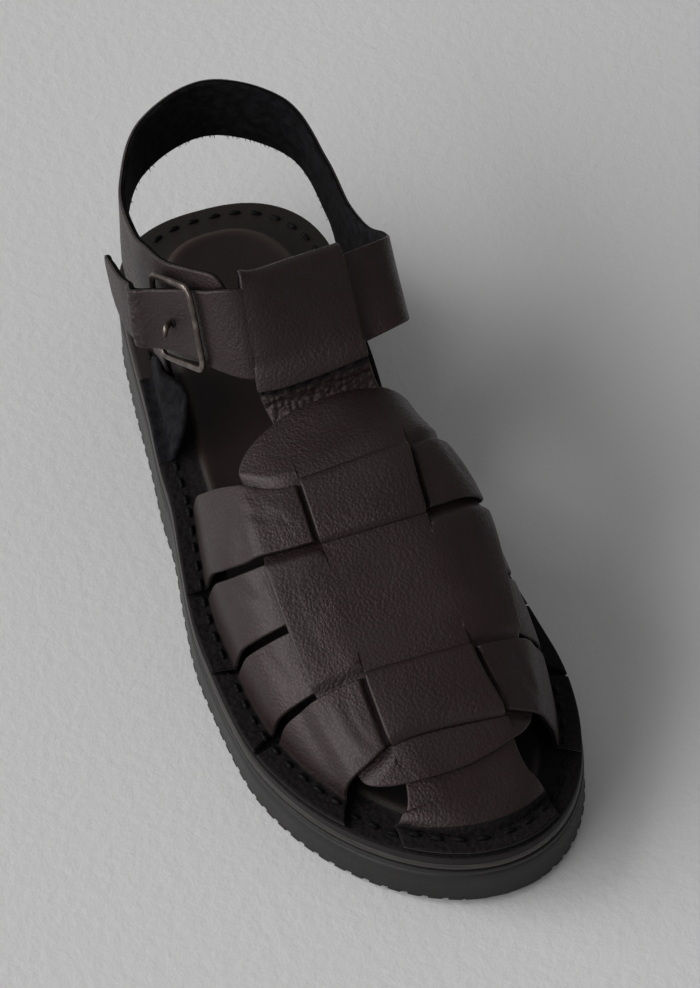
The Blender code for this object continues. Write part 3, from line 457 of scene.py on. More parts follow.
# %% Outline and rim
SoleSection = namedtuple("SoleSection", "share centre half_width")
SOLE_SECTIONS = table(SoleSection, [
    (0.00, 0.075, 0.355),
    (0.10, 0.070, 0.357),
    (0.19, 0.046, 0.362),
    (0.28, 0.026, 0.370),
    (0.40, -0.006, 0.378),
    (0.50, -0.006, 0.420),
    (0.62, 0.014, 0.480),
    (0.74, 0.036, 0.492),
    (0.85, 0.066, 0.482),
    (0.93, 0.095, 0.475),
    (1.00, 0.125, 0.470),
])


HEEL_ROUND = 0.14
TOE_ROUND = 0.25
WEDGE_SPAN = (0.26, 0.74)


def sole_side(share, inset, side):
    """Point of the sole's outline in plan, moved in by inset."""
    share = np.asarray(share, float)
    heel = np.clip(1.0 - share / HEEL_ROUND, 0.0, 1.0)
    toe = np.clip(1.0 - (1.0 - share) / TOE_ROUND, 0.0, 1.0)
    ends = (1.0 - heel ** 2.5) ** 0.4 * np.sqrt(1.0 - toe ** 2)
    centre = look_up(SOLE_SECTIONS, "share", "centre", share) * BALL_WIDTH
    half = look_up(SOLE_SECTIONS, "share", "half_width", share) * BALL_WIDTH
    return centre + side * (half - inset) * ends, (0.5 * SHOE_LENGTH - inset) * (1.0 - 2.0 * share)


def share_at(y, inset=0.0):
    """Share from heel to toe at y."""
    return np.clip(0.5 - np.asarray(y, float) / (SHOE_LENGTH - 2.0 * inset), 0.0, 1.0)


def sole_x(y, inset, side):
    """The outline's x at y, moved in by inset."""
    return sole_side(share_at(y, inset), inset, side)[0]


def toe_spring(y):
    """How far the underside rises towards the toe."""
    rise = np.clip((share_at(y) - 0.78) / 0.22, 0.0, 1.0)
    return TOE_SPRING * rise * rise


def rim_height(y):
    """Height of the insole's edge above the floor."""
    wedge = 1.0 - ease(*WEDGE_SPAN, share_at(y))
    return FOREFOOT_RIM_HEIGHT + (HEEL_RIM_HEIGHT - FOREFOOT_RIM_HEIGHT) * wedge + toe_spring(y)


def outline_shares(pitch):
    """Shares from heel to toe, spaced evenly along the sole's edge."""
    fine = (1.0 - np.cos(np.linspace(0.0, pi, 1200))) / 2.0
    total = np.zeros(len(fine))
    for side in (-1, 1):
        x, y = sole_side(fine, 0.0, side)
        total[1:] += np.cumsum(np.hypot(np.diff(x), np.diff(y))) / 2.0
    count = max(8, round(total[-1] / pitch))
    return np.interp(np.linspace(0.0, total[-1], count + 1), total, fine)


print("rim at heel and toe", rim_height(0.13).round(4), rim_height(-0.13).round(4))


# %% [markdown]
# ## Making a mesh
# Every piece ends as one mesh object that rides on the shoe's body and hides the CAD solid that it
# stands for.

# %% Mesh helper
def make_piece(name, points, faces, materials, looks, node, sharp=50.0, painted=None):
    """A mesh object with its materials, riding on the shoe."""
    mesh = bpy.data.meshes.new(name)
    mesh.from_pydata([tuple(point) for point in np.asarray(points, float)], [], faces)
    for material in materials:
        mesh.materials.append(material)
    mesh.polygons.foreach_set("material_index", np.asarray(looks, np.int32))
    for key, values in (painted or {}).items():
        store = mesh.attributes.new(key, "FLOAT", "POINT")
        store.data.foreach_set("value", np.asarray(values, np.float32))
    mesh.validate()
    mesh.shade_smooth()
    mesh.set_sharp_from_angle(angle=radians(sharp))
    piece = bpy.data.objects.new(name, mesh)
    bpy.context.collection.objects.link(piece)
    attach(piece, "root")
    if node:
        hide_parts(node)
    print(name, len(mesh.polygons), "faces")
    return piece


# %% [markdown]
# ## A sheet of leather
# A strap starts as a grid of points on its inner face. The outer face stands one thickness away
# along the surface's normals, which are smoothed so that a tight fold keeps its roundness. Near
# the cut edge the grain side rolls down, as knife-cut leather does, and a soft unevenness of a
# tenth of a millimetre keeps the sheet from looking like plastic.


# %% Sheet helper
ROLL = 0.0006
UNDERCUT = 0.0008
FLANGE_FROM = 0.55
BORDER_PITCH = 0.00015
BROAD_WAVE = 0.011
FINE_WAVE = 0.0042
FLESH_SHARE = 0.6


def unit(vectors):
    """Vectors scaled to length one."""
    return vectors / np.maximum(np.linalg.norm(vectors, axis=-1, keepdims=True), 1e-12)


def grid_normals(grid):
    """Normals of a grid of points."""
    return unit(np.cross(np.gradient(grid, axis=1), np.gradient(grid, axis=0)))


def sheet_normals(grid, passes):
    """Smoothed normals of a grid of points."""
    normals = grid_normals(grid)
    for _ in range(passes):
        for axis in (0, 1):
            padded = np.pad(normals, [(int(axis == each),) * 2 for each in range(3)], "edge")
            places = np.arange(normals.shape[axis])
            before, after = np.take(padded, places, axis), np.take(padded, places + 2, axis)
            normals = unit(before + 2.0 * normals + after)
    return normals


def border_distance(grid):
    """Distance of each grid point from the sheet's border."""
    border = np.concatenate([grid[0], grid[:, -1], grid[-1, ::-1], grid[::-1, 0]])
    dots = []
    for first, second in zip(border, border[1:]):
        count = max(1, int(np.linalg.norm(second - first) / BORDER_PITCH))
        dots += [first + (second - first) * share for share in np.arange(count) / count]
    tree = kdtree.KDTree(len(dots))
    for index, dot in enumerate(dots):
        tree.insert(dot, index)
    tree.balance()
    return np.array([tree.find(point)[2] for point in grid.reshape(-1, 3)]).reshape(grid.shape[:2])


def unevenness(grid, size, seed):
    """Soft noise over the grid, about -1 to 1."""
    shift = Vector((seed * 3.1, seed * 1.7, seed * 0.9))
    flat = [noise.noise(Vector(point) / size + shift) for point in grid.reshape(-1, 3)]
    return np.array(flat).reshape(grid.shape[:2])


def leather_sheet(name, grid, node, seed, slot="strap_leather", thickness=LEATHER, side=1.0, passes=5,
                  normals=None, wave=0.00011, creases=(), relief=0.0,
                  skins=(GRAIN, EDGE, SUEDE, FLANGE), **paint):
    """A closed sheet of leather from the grid of its inner face; paint holds its painted values."""
    rows, columns = grid.shape[:2]
    normals = sheet_normals(grid, passes) * side if normals is None else normals
    inward = np.clip(border_distance(grid) / ROLL, 0.0, 1.0)
    swell = unevenness(grid, BROAD_WAVE, seed) * wave + unevenness(grid, FINE_WAVE, seed + 5) * wave * 0.35
    for press in creases:
        swell = swell + press(grid)
    swell = swell + relief
    flesh = swell * FLESH_SHARE + UNDERCUT * (1.0 - inward) ** 2
    grain = thickness - ROLL + ROLL * np.sqrt(1.0 - (1.0 - inward) ** 2) + swell
    points = np.concatenate([(grid + normals * lift[..., None]).reshape(-1, 3) for lift in (flesh, grain)])
    shift = rows * columns
    index = np.arange(shift).reshape(rows, columns)
    quads = np.stack([index[:-1, :-1], index[:-1, 1:], index[1:, 1:], index[1:, :-1]], -1).reshape(-1, 4)
    rim = np.concatenate([index[0, :-1], index[:-1, -1], index[-1, :0:-1], index[:0:-1, 0]])
    after = np.roll(rim, -1)
    walls = np.stack([rim, after, after + shift, rim + shift], -1)
    faces = np.concatenate([quads + shift, quads[:, ::-1], walls])
    if signed_volume(points, faces) < 0.0:
        faces = faces[:, ::-1]
    painted = {key: np.zeros((rows, columns)) + paint.get(key, 0.0) for key in ("rough", "coarse", "ink")}
    # The looks: 0 grain side, 1 cut edge, 2 flesh side, 3 flange.
    flange = np.where(painted["rough"][:-1, :-1].ravel() > FLANGE_FROM, 3, 0)
    looks = np.concatenate([flange, np.full(len(quads), 2), np.ones(len(walls))])
    painted = {key: np.tile(values.ravel(), 2) for key, values in painted.items()}
    painted["height"] = np.repeat([0.0, 1.0], shift)
    return make_piece(name, points, faces.tolist(), skins, looks, node, painted=painted)


def signed_volume(points, quads):
    """Volume inside a closed mesh of four-sided faces."""
    first, second, third, fourth = (points[quads[:, corner]] for corner in range(4))
    return sum(np.einsum("ij,ij->i", first, np.cross(*pair)).sum() / 6.0
               for pair in ((second, third), (third, fourth)))


def across(count, width, roll=0.0008):
    """Shares over a width, with extra ones where the edge rolls down."""
    near = np.array([0.0, 0.15, 0.4, 0.7, 1.0]) * roll / width
    middle = np.linspace(near[-1], 1.0 - near[-1], count)[1:-1]
    return np.concatenate([near, middle, (1.0 - near)[::-1]])


print("sheet helper ready")

# %% [markdown]
# ## The foot form
# Every strap of the vamp lies on one smooth form, the last. It is a set of cross-sections that
# change from the instep to the toes: steep on the outer side, highest a little to the inner side.
# Stations 0 to 7 run over it from the sole's outer edge to its inner edge, with the folds on the
# insole's margin at 1 and 6.

# %% Foot form tables
Ridge = namedtuple("Ridge", "y height")
RIDGES = table(Ridge, [
    (-0.480, 0.00),
    (-0.440, 0.13),
    (-0.405, 0.29),
    (-0.368, 0.45),
    (-0.300, 0.63),
    (-0.220, 0.80),
    (-0.158, 0.93),
    (-0.088, 1.00),
    (0.000, 0.93),
    (0.080, 0.90),
])
FormPoint = namedtuple("FormPoint", "station across up toe_across toe_up")
FORM_POINTS = table(FormPoint, [
    (1.0, 0.000, 0.00, 0.000, 0.00),
    (1.5, 0.030, 0.38, 0.030, 0.30),
    (2.0, 0.135, 0.70, 0.150, 0.60),
    (2.5, 0.240, 0.79, 0.230, 0.72),
    (3.0, 0.355, 0.86, 0.310, 0.82),
    (4.0, 0.735, 1.00, 0.720, 0.98),
    (4.6, 0.860, 0.97, 0.830, 0.87),
    (5.0, 0.930, 0.88, 0.900, 0.72),
    (5.5, 0.990, 0.48, 0.975, 0.38),
    (6.0, 1.000, 0.00, 1.000, 0.00),
])
print(len(FORM_POINTS), "form points")


# %% The form as a fine grid
def form_section(y):
    """Stations, x and z of the foot form at y."""
    outer_rim, inner_rim = sole_x(y, 0.0005, -1), sole_x(y, 0.0005, 1)
    outer_fold, inner_fold = sole_x(y, STITCH_MARGIN, -1), sole_x(y, STITCH_MARGIN, 1)
    base = rim_height(y) + GAP
    ridge = look_up(RIDGES, "y", "height", y / SHOE_LENGTH) * VAMP_HEIGHT
    toe = ease(0.150, 0.370, -y / SHOE_LENGTH)
    stations = [0.0, 0.8] + column(FORM_POINTS, "station") + [6.2, 7.0]
    span = inner_fold - outer_fold
    xs = [outer_rim, outer_rim + 0.8 * (outer_fold - outer_rim)]
    xs += [outer_fold + (p.across + (p.toe_across - p.across) * toe) * span for p in FORM_POINTS]
    xs += [inner_rim - 0.8 * (inner_rim - inner_fold), inner_rim]
    zs = [base + (p.up + (p.toe_up - p.up) * toe) * ridge for p in FORM_POINTS]
    return stations, xs, [base, base] + zs + [base, base]


FORM_Y = np.linspace(-0.134, 0.034, 169)
FORM_S = np.linspace(0.0, 7.0, 351)
FORM_X = np.empty((len(FORM_Y), len(FORM_S)))
FORM_Z = np.empty((len(FORM_Y), len(FORM_S)))
for row, y in enumerate(FORM_Y):
    stations, xs, zs = form_section(y)
    FORM_X[row] = smooth_values(stations, xs, FORM_S)
    FORM_Z[row] = smooth_values(stations, zs, FORM_S)
FORM = np.stack([FORM_X, np.repeat(FORM_Y[:, None], len(FORM_S), 1), FORM_Z], -1)
FORM_NORMALS = grid_normals(FORM)
BETWEEN_FOLDS = slice(50, 301)
MIDDLE_ROW = 100
print("form grid", FORM.shape)


def between(value, marks):
    """Index and share of a value between evenly spaced marks."""
    place = np.clip((value - marks[0]) / (marks[1] - marks[0]), 0.0, len(marks) - 1.001)
    return place.astype(int), place - place.astype(int)


def sample(field, station, y):
    """Read a field of the form's grid between its points."""
    (row, down), (col, along) = between(y, FORM_Y), between(station, FORM_S)
    down, along = down[..., None], along[..., None]
    low = field[row, col] * (1 - along) + field[row, col + 1] * along
    high = field[row + 1, col] * (1 - along) + field[row + 1, col + 1] * along
    return low * (1 - down) + high * down


def on_form(station, y, lift):
    """Points a distance above the foot form."""
    station, y, lift = np.broadcast_arrays(station, y, lift)
    return sample(FORM, station, y) + unit(sample(FORM_NORMALS, station, y)) * lift[..., None]


def row_stations(x, row):
    """Stations of given x on one row of the form, between the folds."""
    return np.interp(x, FORM_X[row][BETWEEN_FOLDS], FORM_S[BETWEEN_FOLDS])


def station_at(x, y):
    """Stations of given x where the form has this y."""
    row, share = between(y, FORM_Y)
    near = row_stations(x, row)
    return near + (row_stations(x, row + 1) - near) * share


def stations_of(x, y):
    """Stations on the form for points given in plan."""
    x, y = np.broadcast_arrays(x, y)
    return np.array([station_at(*pair) for pair in zip(x.ravel(), y.ravel())]).reshape(x.shape)


print("widest part of the form", (FORM_X.max() - FORM_X.min()).round(4))

# %% [markdown]
# ## Where the straps run
# Four cross straps on each side hold a wide panel and a centre strap. The front one and the rear
# one pass over the panel. The two between end under it. Each strap has a back and a front edge at
# a few stations.

# %% Strap tables
StrapEdge = namedtuple("StrapEdge", "station back front")
CROSS_STRAPS = {
    "a": table(StrapEdge, [
        (0, 0.060, -0.050),
        (1, 0.056, -0.050),
        (2, -0.020, -0.125),
        (3, -0.076, -0.145),
        (4, -0.086, -0.158),
        (5, -0.072, -0.147),
        (6, 0.032, -0.058),
        (7, 0.040, -0.053),
    ]),
    "b": table(StrapEdge, [
        (0, -0.055, -0.158),
        (1, -0.062, -0.162),
        (2, -0.134, -0.204),
        (2.5, -0.142, -0.208),
        (4.6, -0.158, -0.216),
        (5, -0.156, -0.219),
        (6, -0.070, -0.170),
        (7, -0.058, -0.182),
    ]),
    "c": table(StrapEdge, [
        (0, -0.163, -0.278),
        (1, -0.172, -0.263),
        (2, -0.212, -0.281),
        (2.5, -0.216, -0.283),
        (4.6, -0.226, -0.290),
        (5, -0.228, -0.291),
        (6, -0.180, -0.268),
        (7, -0.187, -0.290),
    ]),
    "d": table(StrapEdge, [
        (0, -0.283, -0.408),
        (1, -0.276, -0.378),
        (2, -0.289, -0.370),
        (3, -0.296, -0.364),
        (4, -0.307, -0.373),
        (5, -0.298, -0.376),
        (6, -0.286, -0.384),
        (7, -0.295, -0.400),
    ]),
}
PanelEdge = namedtuple("PanelEdge", "y outer inner")
PANEL_EDGES = table(PanelEdge, [
    (-0.410, -0.190, 0.310),
    (-0.368, -0.195, 0.330),
    (-0.295, -0.232, 0.360),
    (-0.150, -0.250, 0.385),
    (-0.030, -0.222, 0.366),
    (0.025, -0.222, 0.366),
])
CentreRow = namedtuple("CentreRow", "y middle width")
CENTRE_ROWS = table(CentreRow, [
    (-0.500, 0.085, 1.45),
    (-0.460, 0.082, 1.38),
    (-0.405, 0.085, 1.05),
    (-0.300, 0.062, 0.97),
    (-0.150, 0.068, 0.97),
    (-0.020, 0.090, 1.02),
    (0.060, 0.062, 1.03),
])


def strap_edges(name, station):
    """Back and front edge of a cross strap, in metres."""
    rows = CROSS_STRAPS[name]
    return [look_up(rows, "station", edge, station) * SHOE_LENGTH for edge in ("back", "front")]


def panel_sides(y):
    """Outer and inner edge of the panel at y."""
    return [look_up(PANEL_EDGES, "y", edge, y / SHOE_LENGTH) * BALL_WIDTH for edge in ("outer", "inner")]


def centre_sides(y):
    """Outer and inner edge of the centre strap at y."""
    middle = look_up(CENTRE_ROWS, "y", "middle", y / SHOE_LENGTH) * BALL_WIDTH
    half = look_up(CENTRE_ROWS, "y", "width", y / SHOE_LENGTH) * CENTRE_STRAP_WIDTH / 2.0
    return middle - half, middle + half


print("strap tables ready")

# %% [markdown]
# ## Creases
# Leather that has been bent over a foot keeps its folds. Each main crease is a soft trough with a
# low ridge beside it, placed from one point to another in plan, and it fades out at both
# ends.


# %% Crease helper
def crease(start, end, depth, width):
    """A trough from start to end in plan, in metres."""
    start, end = np.array(start), np.array(end)
    along = end - start
    length = np.linalg.norm(along)
    along = along / length
    across_it = np.array([-along[1], along[0]])

    def press(grid):
        plan = grid[..., :2] - start
        run = plan @ along / length
        off = plan @ across_it + 0.12 * length * np.sin(pi * np.clip(run, 0.0, 1.0)) * 0.5
        fade = ease(-0.05, 0.25, run) * ease(-1.05, -0.75, -run)
        trough = np.exp(-(off / width) ** 2)
        ridge = np.exp(-((off - 2.1 * width) / (1.4 * width)) ** 2)
        return depth * fade * (0.45 * ridge - trough)

    return press


SHOULDER_CREASES = {
    "a": [crease((-0.030, -0.004), (-0.018, -0.030), 0.00018, 0.0012),
          crease((-0.025, -0.008), (-0.013, -0.034), 0.00012, 0.0010),
          crease((0.034, -0.014), (0.037, -0.036), 0.00025, 0.0011)],
    "b": [crease((-0.033, -0.030), (-0.026, -0.050), 0.00026, 0.0011)],
    "c": [crease((-0.031, -0.054), (-0.026, -0.074), 0.00026, 0.0011)],
    "d": [crease((-0.022, -0.082), (-0.018, -0.100), 0.00018, 0.0012),
          crease((-0.017, -0.083), (-0.013, -0.100), 0.00012, 0.0010),
          crease((0.032, -0.084), (0.035, -0.101), 0.00026, 0.0011)],
}
PANEL_CREASES = [crease((-0.021, -0.044), (-0.017, -0.070), 0.00013, 0.0010),
                 crease((0.031, -0.046), (0.029, -0.074), 0.00020, 0.0013)]
print("creases placed")


# %% [markdown]
# ## The four cross straps
# Each strap starts as a flange on the insole's margin, turns up at the fold, climbs the side and
# crosses the top. The front and rear straps rise by one layer where they pass over the panel and
# the centre strap. Where the centre strap comes up between them, they have a ditch beside it that
# painted shade turns black.

# %% Cross straps
DITCH_DEPTH = 0.0011
DITCH_SLOPE = (0.0004, 0.0021)
DITCH_SHADE = (0.0003, 0.0013)
DITCH_STATIONS = np.linspace(-0.14, 0.14, 25)


def over_panel(x, y):
    """1 over the panel and 0 beside it."""
    low, high = panel_sides(y)
    return ease(low - 0.005, low + 0.0006, x) * ease(-high - 0.005, -high + 0.0006, -x)


def near_sole(grid):
    """1 on the stitched flange and 0 a few millimetres up."""
    return 1.0 - ease(0.0006, 0.0050, grid[..., 2] - rim_height(grid[..., 1]))


def cross_strap(name, first, last, label, seed):
    """A cross strap between two stations."""
    count = int(24 * (last - first)) + 6
    station = np.linspace(first, last, count)
    over = name in ("a", "d")
    if over:
        middle_y = np.mean(strap_edges(name, np.array([4.0])))
        for edge_x in centre_sides(middle_y):
            near = station_at(np.array([edge_x]), middle_y)
            station = np.concatenate([station, near + DITCH_STATIONS])
    station = np.unique(station.round(4))[:, None]
    back, front = strap_edges(name, station)
    y = back + (front - back) * across(18, 0.028)[None, :]
    station = np.broadcast_to(station, y.shape)
    x = sample(FORM, station, y)[..., 0]
    lift = over_panel(x, y) * LAYER if over else np.zeros_like(y)
    grid = on_form(station, y, lift)
    relief = ink = np.zeros_like(y)
    if over:
        low, high = centre_sides(y)
        outside = np.maximum(low - x, x - high)
        relief = -DITCH_DEPTH * (1.0 - ease(*DITCH_SLOPE, outside))
        # Painted shade: black that fades out between 0.3 and 1.3 mm from the centre strap's sides.
        ink = 1.0 - ease(*DITCH_SHADE, outside)
    return leather_sheet("strap_" + name + label, grid, "upper", seed, creases=SHOULDER_CREASES[name],
                         rough=near_sole(grid), relief=relief, ink=ink)


STRAP_PARTS = [("a", 0.0, 7.0, ""), ("b", 0.0, 2.9, "_outer"), ("b", 4.3, 7.0, "_inner"),
               ("c", 0.0, 2.9, "_outer"), ("c", 4.3, 7.0, "_inner"), ("d", 0.0, 7.0, "")]
for seed, part in enumerate(STRAP_PARTS, 1):
    cross_strap(*part, seed)

# %% [markdown]
# ## The wide panel
# The panel shows in three places: a round top, the wide middle and an oval tip. Between them it
# dives under the cross straps at its sides, while its middle lies over the centre strap and stops
# at a slot. It is laid as three sheets whose ends are hidden.


# %% Panel
PANEL_BACK_Y = 0.022 * SHOE_LENGTH
PANEL_ROUND_Y = -0.036 * SHOE_LENGTH
TIP_Y = -0.408 * SHOE_LENGTH
TIP_ROUND_Y = -0.366 * SHOE_LENGTH
TUCK = 0.0050
SLOT_GAP = 0.0010


def panel_rounding(y):
    """How much of the panel's width is left near its two round ends."""
    back = (y - PANEL_ROUND_Y) / (PANEL_BACK_Y - PANEL_ROUND_Y)
    tip = (y - TIP_ROUND_Y) / (TIP_Y - TIP_ROUND_Y)
    reach = np.clip(np.maximum(back, tip), 0.0, 1.0)
    return np.sqrt(np.maximum(1.0 - reach ** 2.2, 0.0))


SIDE_ZONE = np.concatenate([[0.0, 0.01, 0.027, 0.047], np.linspace(0.07, 0.985, 10)])
SLOT_ZONE = np.concatenate([[0.004], np.linspace(0.02, 0.98, 20), [0.996]])
IN_SLOT = np.concatenate([SIDE_ZONE * 0.0, SLOT_ZONE * 0.0 + 1.0, SIDE_ZONE * 0.0])[None, :]


def panel_columns(y):
    """The x of the panel's columns: outer side, slot and inner side."""
    low, high = panel_sides(y)
    middle, half = (low + high) / 2.0, (high - low) / 2.0 * panel_rounding(y)
    low, high = middle - half, middle + half
    slot_low, slot_high = centre_sides(y)
    slot_low = np.clip(slot_low, low + 0.1 * half, high - 0.3 * half)
    slot_high = np.clip(slot_high, low + 0.3 * half, high - 0.1 * half)
    outer = low + (slot_low - low) * SIDE_ZONE[None, :]
    slot = slot_low + (slot_high - slot_low) * SLOT_ZONE[None, :]
    inner = high - (high - slot_high) * SIDE_ZONE[None, ::-1]
    return np.concatenate([outer, slot, inner], 1)


def panel_sheet(name, seed, back_of, front_of, back_under, front_under, creases=(), rows=64):
    """A part of the panel between two edge lines."""
    shares = across(rows, 0.040)[:, None]
    middle_y = (back_of(np.zeros((1, 1)), 1.0) + front_of(np.zeros((1, 1)), 1.0)) / 2.0
    x = panel_columns(middle_y)
    y = np.zeros((shares.shape[0], x.shape[1])) + middle_y
    # The edge lines are followed at each column's own x.
    for _ in range(4):
        back, front = back_of(x, IN_SLOT), front_of(x, IN_SLOT)
        y = back + (front - back) * shares
        x = np.stack([panel_columns(y[:, col:col + 1])[:, col] for col in range(y.shape[1])], 1)
    station = stations_of(x, y)
    dive = np.zeros_like(y)
    for strap, under in (back_under, front_under):
        if strap:
            back, front = strap_edges(strap, station)
            edge = front if under > 0 else back
            dive = np.maximum(dive, ease(-0.0045, -0.0002, (y - edge) * under))
    lift = LAYER * (1.0 - dive * (1.0 - IN_SLOT))
    grid = on_form(station, y, lift)
    normals = unit(sample(FORM_NORMALS, station, y))
    return leather_sheet(name, grid, "upper", seed, normals=normals, creases=creases)


def slot_line(strap, is_front):
    """Edge line of a panel part at a cross strap: tucked under it, or cut at the slot."""

    def line(x, in_slot):
        station = row_stations(x, MIDDLE_ROW)
        back, front = strap_edges(strap, station)
        inward = 1.0 if is_front else -1.0
        return (front if is_front else back) + inward * (TUCK * (1.0 - in_slot) - SLOT_GAP * in_slot)

    return line


def end_line(end):
    """Edge line across a free end of the panel."""
    return lambda x, in_slot: x * 0.0 + end


panel_sheet("panel_top", 7, end_line(PANEL_BACK_Y - 0.0001), slot_line("a", False),
            (None, 0), ("a", -1), rows=30)
panel_sheet("panel_body", 8, slot_line("a", True), slot_line("d", False), ("a", 1), ("d", -1), PANEL_CREASES)
panel_sheet("panel_tip", 9, slot_line("d", True), end_line(TIP_Y + 0.0001),
            ("d", 1), (None, 0), rows=26)

# %% [markdown]
# ## The centre strap
# One long strap starts on the insole's edge at the toe, goes under the panel's tip, over the front
# cross strap, under the panel, over the rear cross strap and under the panel's round top. Then it
# rises as the bar of the T and folds round the ankle band. Its path is a line of points for each
# column, which a smooth curve joins. Below the fold's stitches its surface is coarse.

# %% Ankle ring
RingStation = namedtuple("RingStation", "top_x top_y top_z low_x low_y low_z")
RING = table(RingStation, [
    (0.080, 0.103, 1.000, 0.095, 0.045, 0.775),
    (-0.090, 0.100, 1.005, -0.095, 0.054, 0.745),
    (-0.195, 0.118, 1.030, -0.190, 0.075, 0.735),
    (-0.265, 0.150, 0.995, -0.260, 0.110, 0.705),
    (-0.320, 0.184, 0.955, -0.325, 0.154, 0.640),
    (-0.340, 0.228, 0.905, -0.342, 0.203, 0.560),
    (-0.352, 0.272, 0.868, -0.352, 0.272, 0.540),
    (-0.330, 0.335, 0.880, -0.340, 0.342, 0.600),
    (-0.190, 0.394, 0.955, -0.205, 0.408, 0.700),
    (0.090, 0.418, 0.992, 0.096, 0.432, 0.742),
    (0.360, 0.384, 0.930, 0.385, 0.396, 0.665),
    (0.450, 0.325, 0.805, 0.465, 0.338, 0.540),
    (0.470, 0.272, 0.755, 0.452, 0.276, 0.500),
    (0.482, 0.212, 0.800, 0.452, 0.200, 0.505),
    (0.490, 0.160, 0.900, 0.475, 0.120, 0.645),
    (0.455, 0.128, 0.960, 0.455, 0.055, 0.805),
    (0.280, 0.112, 0.985, 0.295, 0.044, 0.800),
])


def ring_raw(place, width_share):
    """Smooth closed curve through the ring's stations; width_share 0 is the top edge."""
    place, width_share = np.broadcast_arrays(np.asarray(place, float), np.asarray(width_share, float))
    base = np.floor(place).astype(int)
    share = place - base
    weights = (
        (-share + 2.0 * share ** 2 - share ** 3) / 2.0,
        (2.0 - 5.0 * share ** 2 + 3.0 * share ** 3) / 2.0,
        (share + 4.0 * share ** 2 - 3.0 * share ** 3) / 2.0,
        (-share ** 2 + share ** 3) / 2.0,
    )
    ring = np.array(RING)
    total = np.zeros(place.shape + (3,))
    for offset, weight in enumerate(weights):
        row = ring[(base - 1 + offset) % len(RING)]
        top, low = row[..., :3], row[..., 3:]
        total += weight[..., None] * (top + (low - top) * width_share[..., None])
    return total * np.array([ANKLE_WIDTH, SHOE_LENGTH, ANKLE_HEIGHT])


def ring_point(place, width_share, lift=0.0):
    """A point at a distance out from the ring."""
    along = ring_raw(place + 0.08, width_share) - ring_raw(place - 0.08, width_share)
    down = ring_raw(place, 1.0) - ring_raw(place, 0.0)
    out = unit(np.cross(along, down))
    return ring_raw(place, width_share) + out * np.asarray(lift, float)[..., None]


def band_edge(x, width_share):
    """The front band's inner face where it passes given x."""
    places = np.linspace(14.5, 18.4, 160)
    raw = ring_raw(places, width_share)
    order = np.argsort(raw[:, 0])
    return ring_point(np.interp(x, raw[order, 0], places[order]), width_share)


print("ring stations", len(RING))


# %% Centre strap
def toe_edge_y(x, inset):
    """The y of the sole's toe edge at x, moved in by inset."""
    shares = np.linspace(0.80, 1.0, 300)
    outer, inner = (np.stack(sole_side(shares, inset, side)) for side in (-1, 1))
    return np.interp(x, *np.concatenate([outer, inner[:, ::-1]], 1))


def run_of(rows):
    """How far each row of points lies from the first, as a mean over its columns."""
    steps = np.linalg.norm(np.diff(rows, axis=0), axis=2).mean(1)
    return np.concatenate([[0.0], np.cumsum(steps)])


def fine_rows(rows, pitch):
    """Rows joined by a smooth curve and laid out evenly."""
    rows = np.array(rows)
    run = run_of(rows)
    near = np.array([0.0, 0.00012, 0.0003, 0.0006, 0.001])
    middle = np.linspace(0.001, run[-1] - 0.001, int(run[-1] / pitch))[1:-1]
    places = np.concatenate([near, middle, run[-1] - near[::-1]])
    flat = [smooth_values(run, rows[:, col, axis], places)
            for col in range(rows.shape[1]) for axis in range(3)]
    return np.array(flat).reshape(rows.shape[1], 3, -1).transpose(2, 0, 1), places


def weave_lift(x, y, station):
    """How far the centre strap stands above the form: two layers over a cross strap."""
    total = np.zeros_like(y)
    for name in ("a", "d"):
        back, front = strap_edges(name, station)
        gap = np.maximum(y - back, front - y)
        total = np.maximum(total, 1.0 - ease(-0.0012, 0.0018, gap))
    return 2.0 * LAYER * total


TOE_TOP_Y = -0.425 * SHOE_LENGTH
ROW_PITCH = 0.0009
BAND_GAP = 0.0006


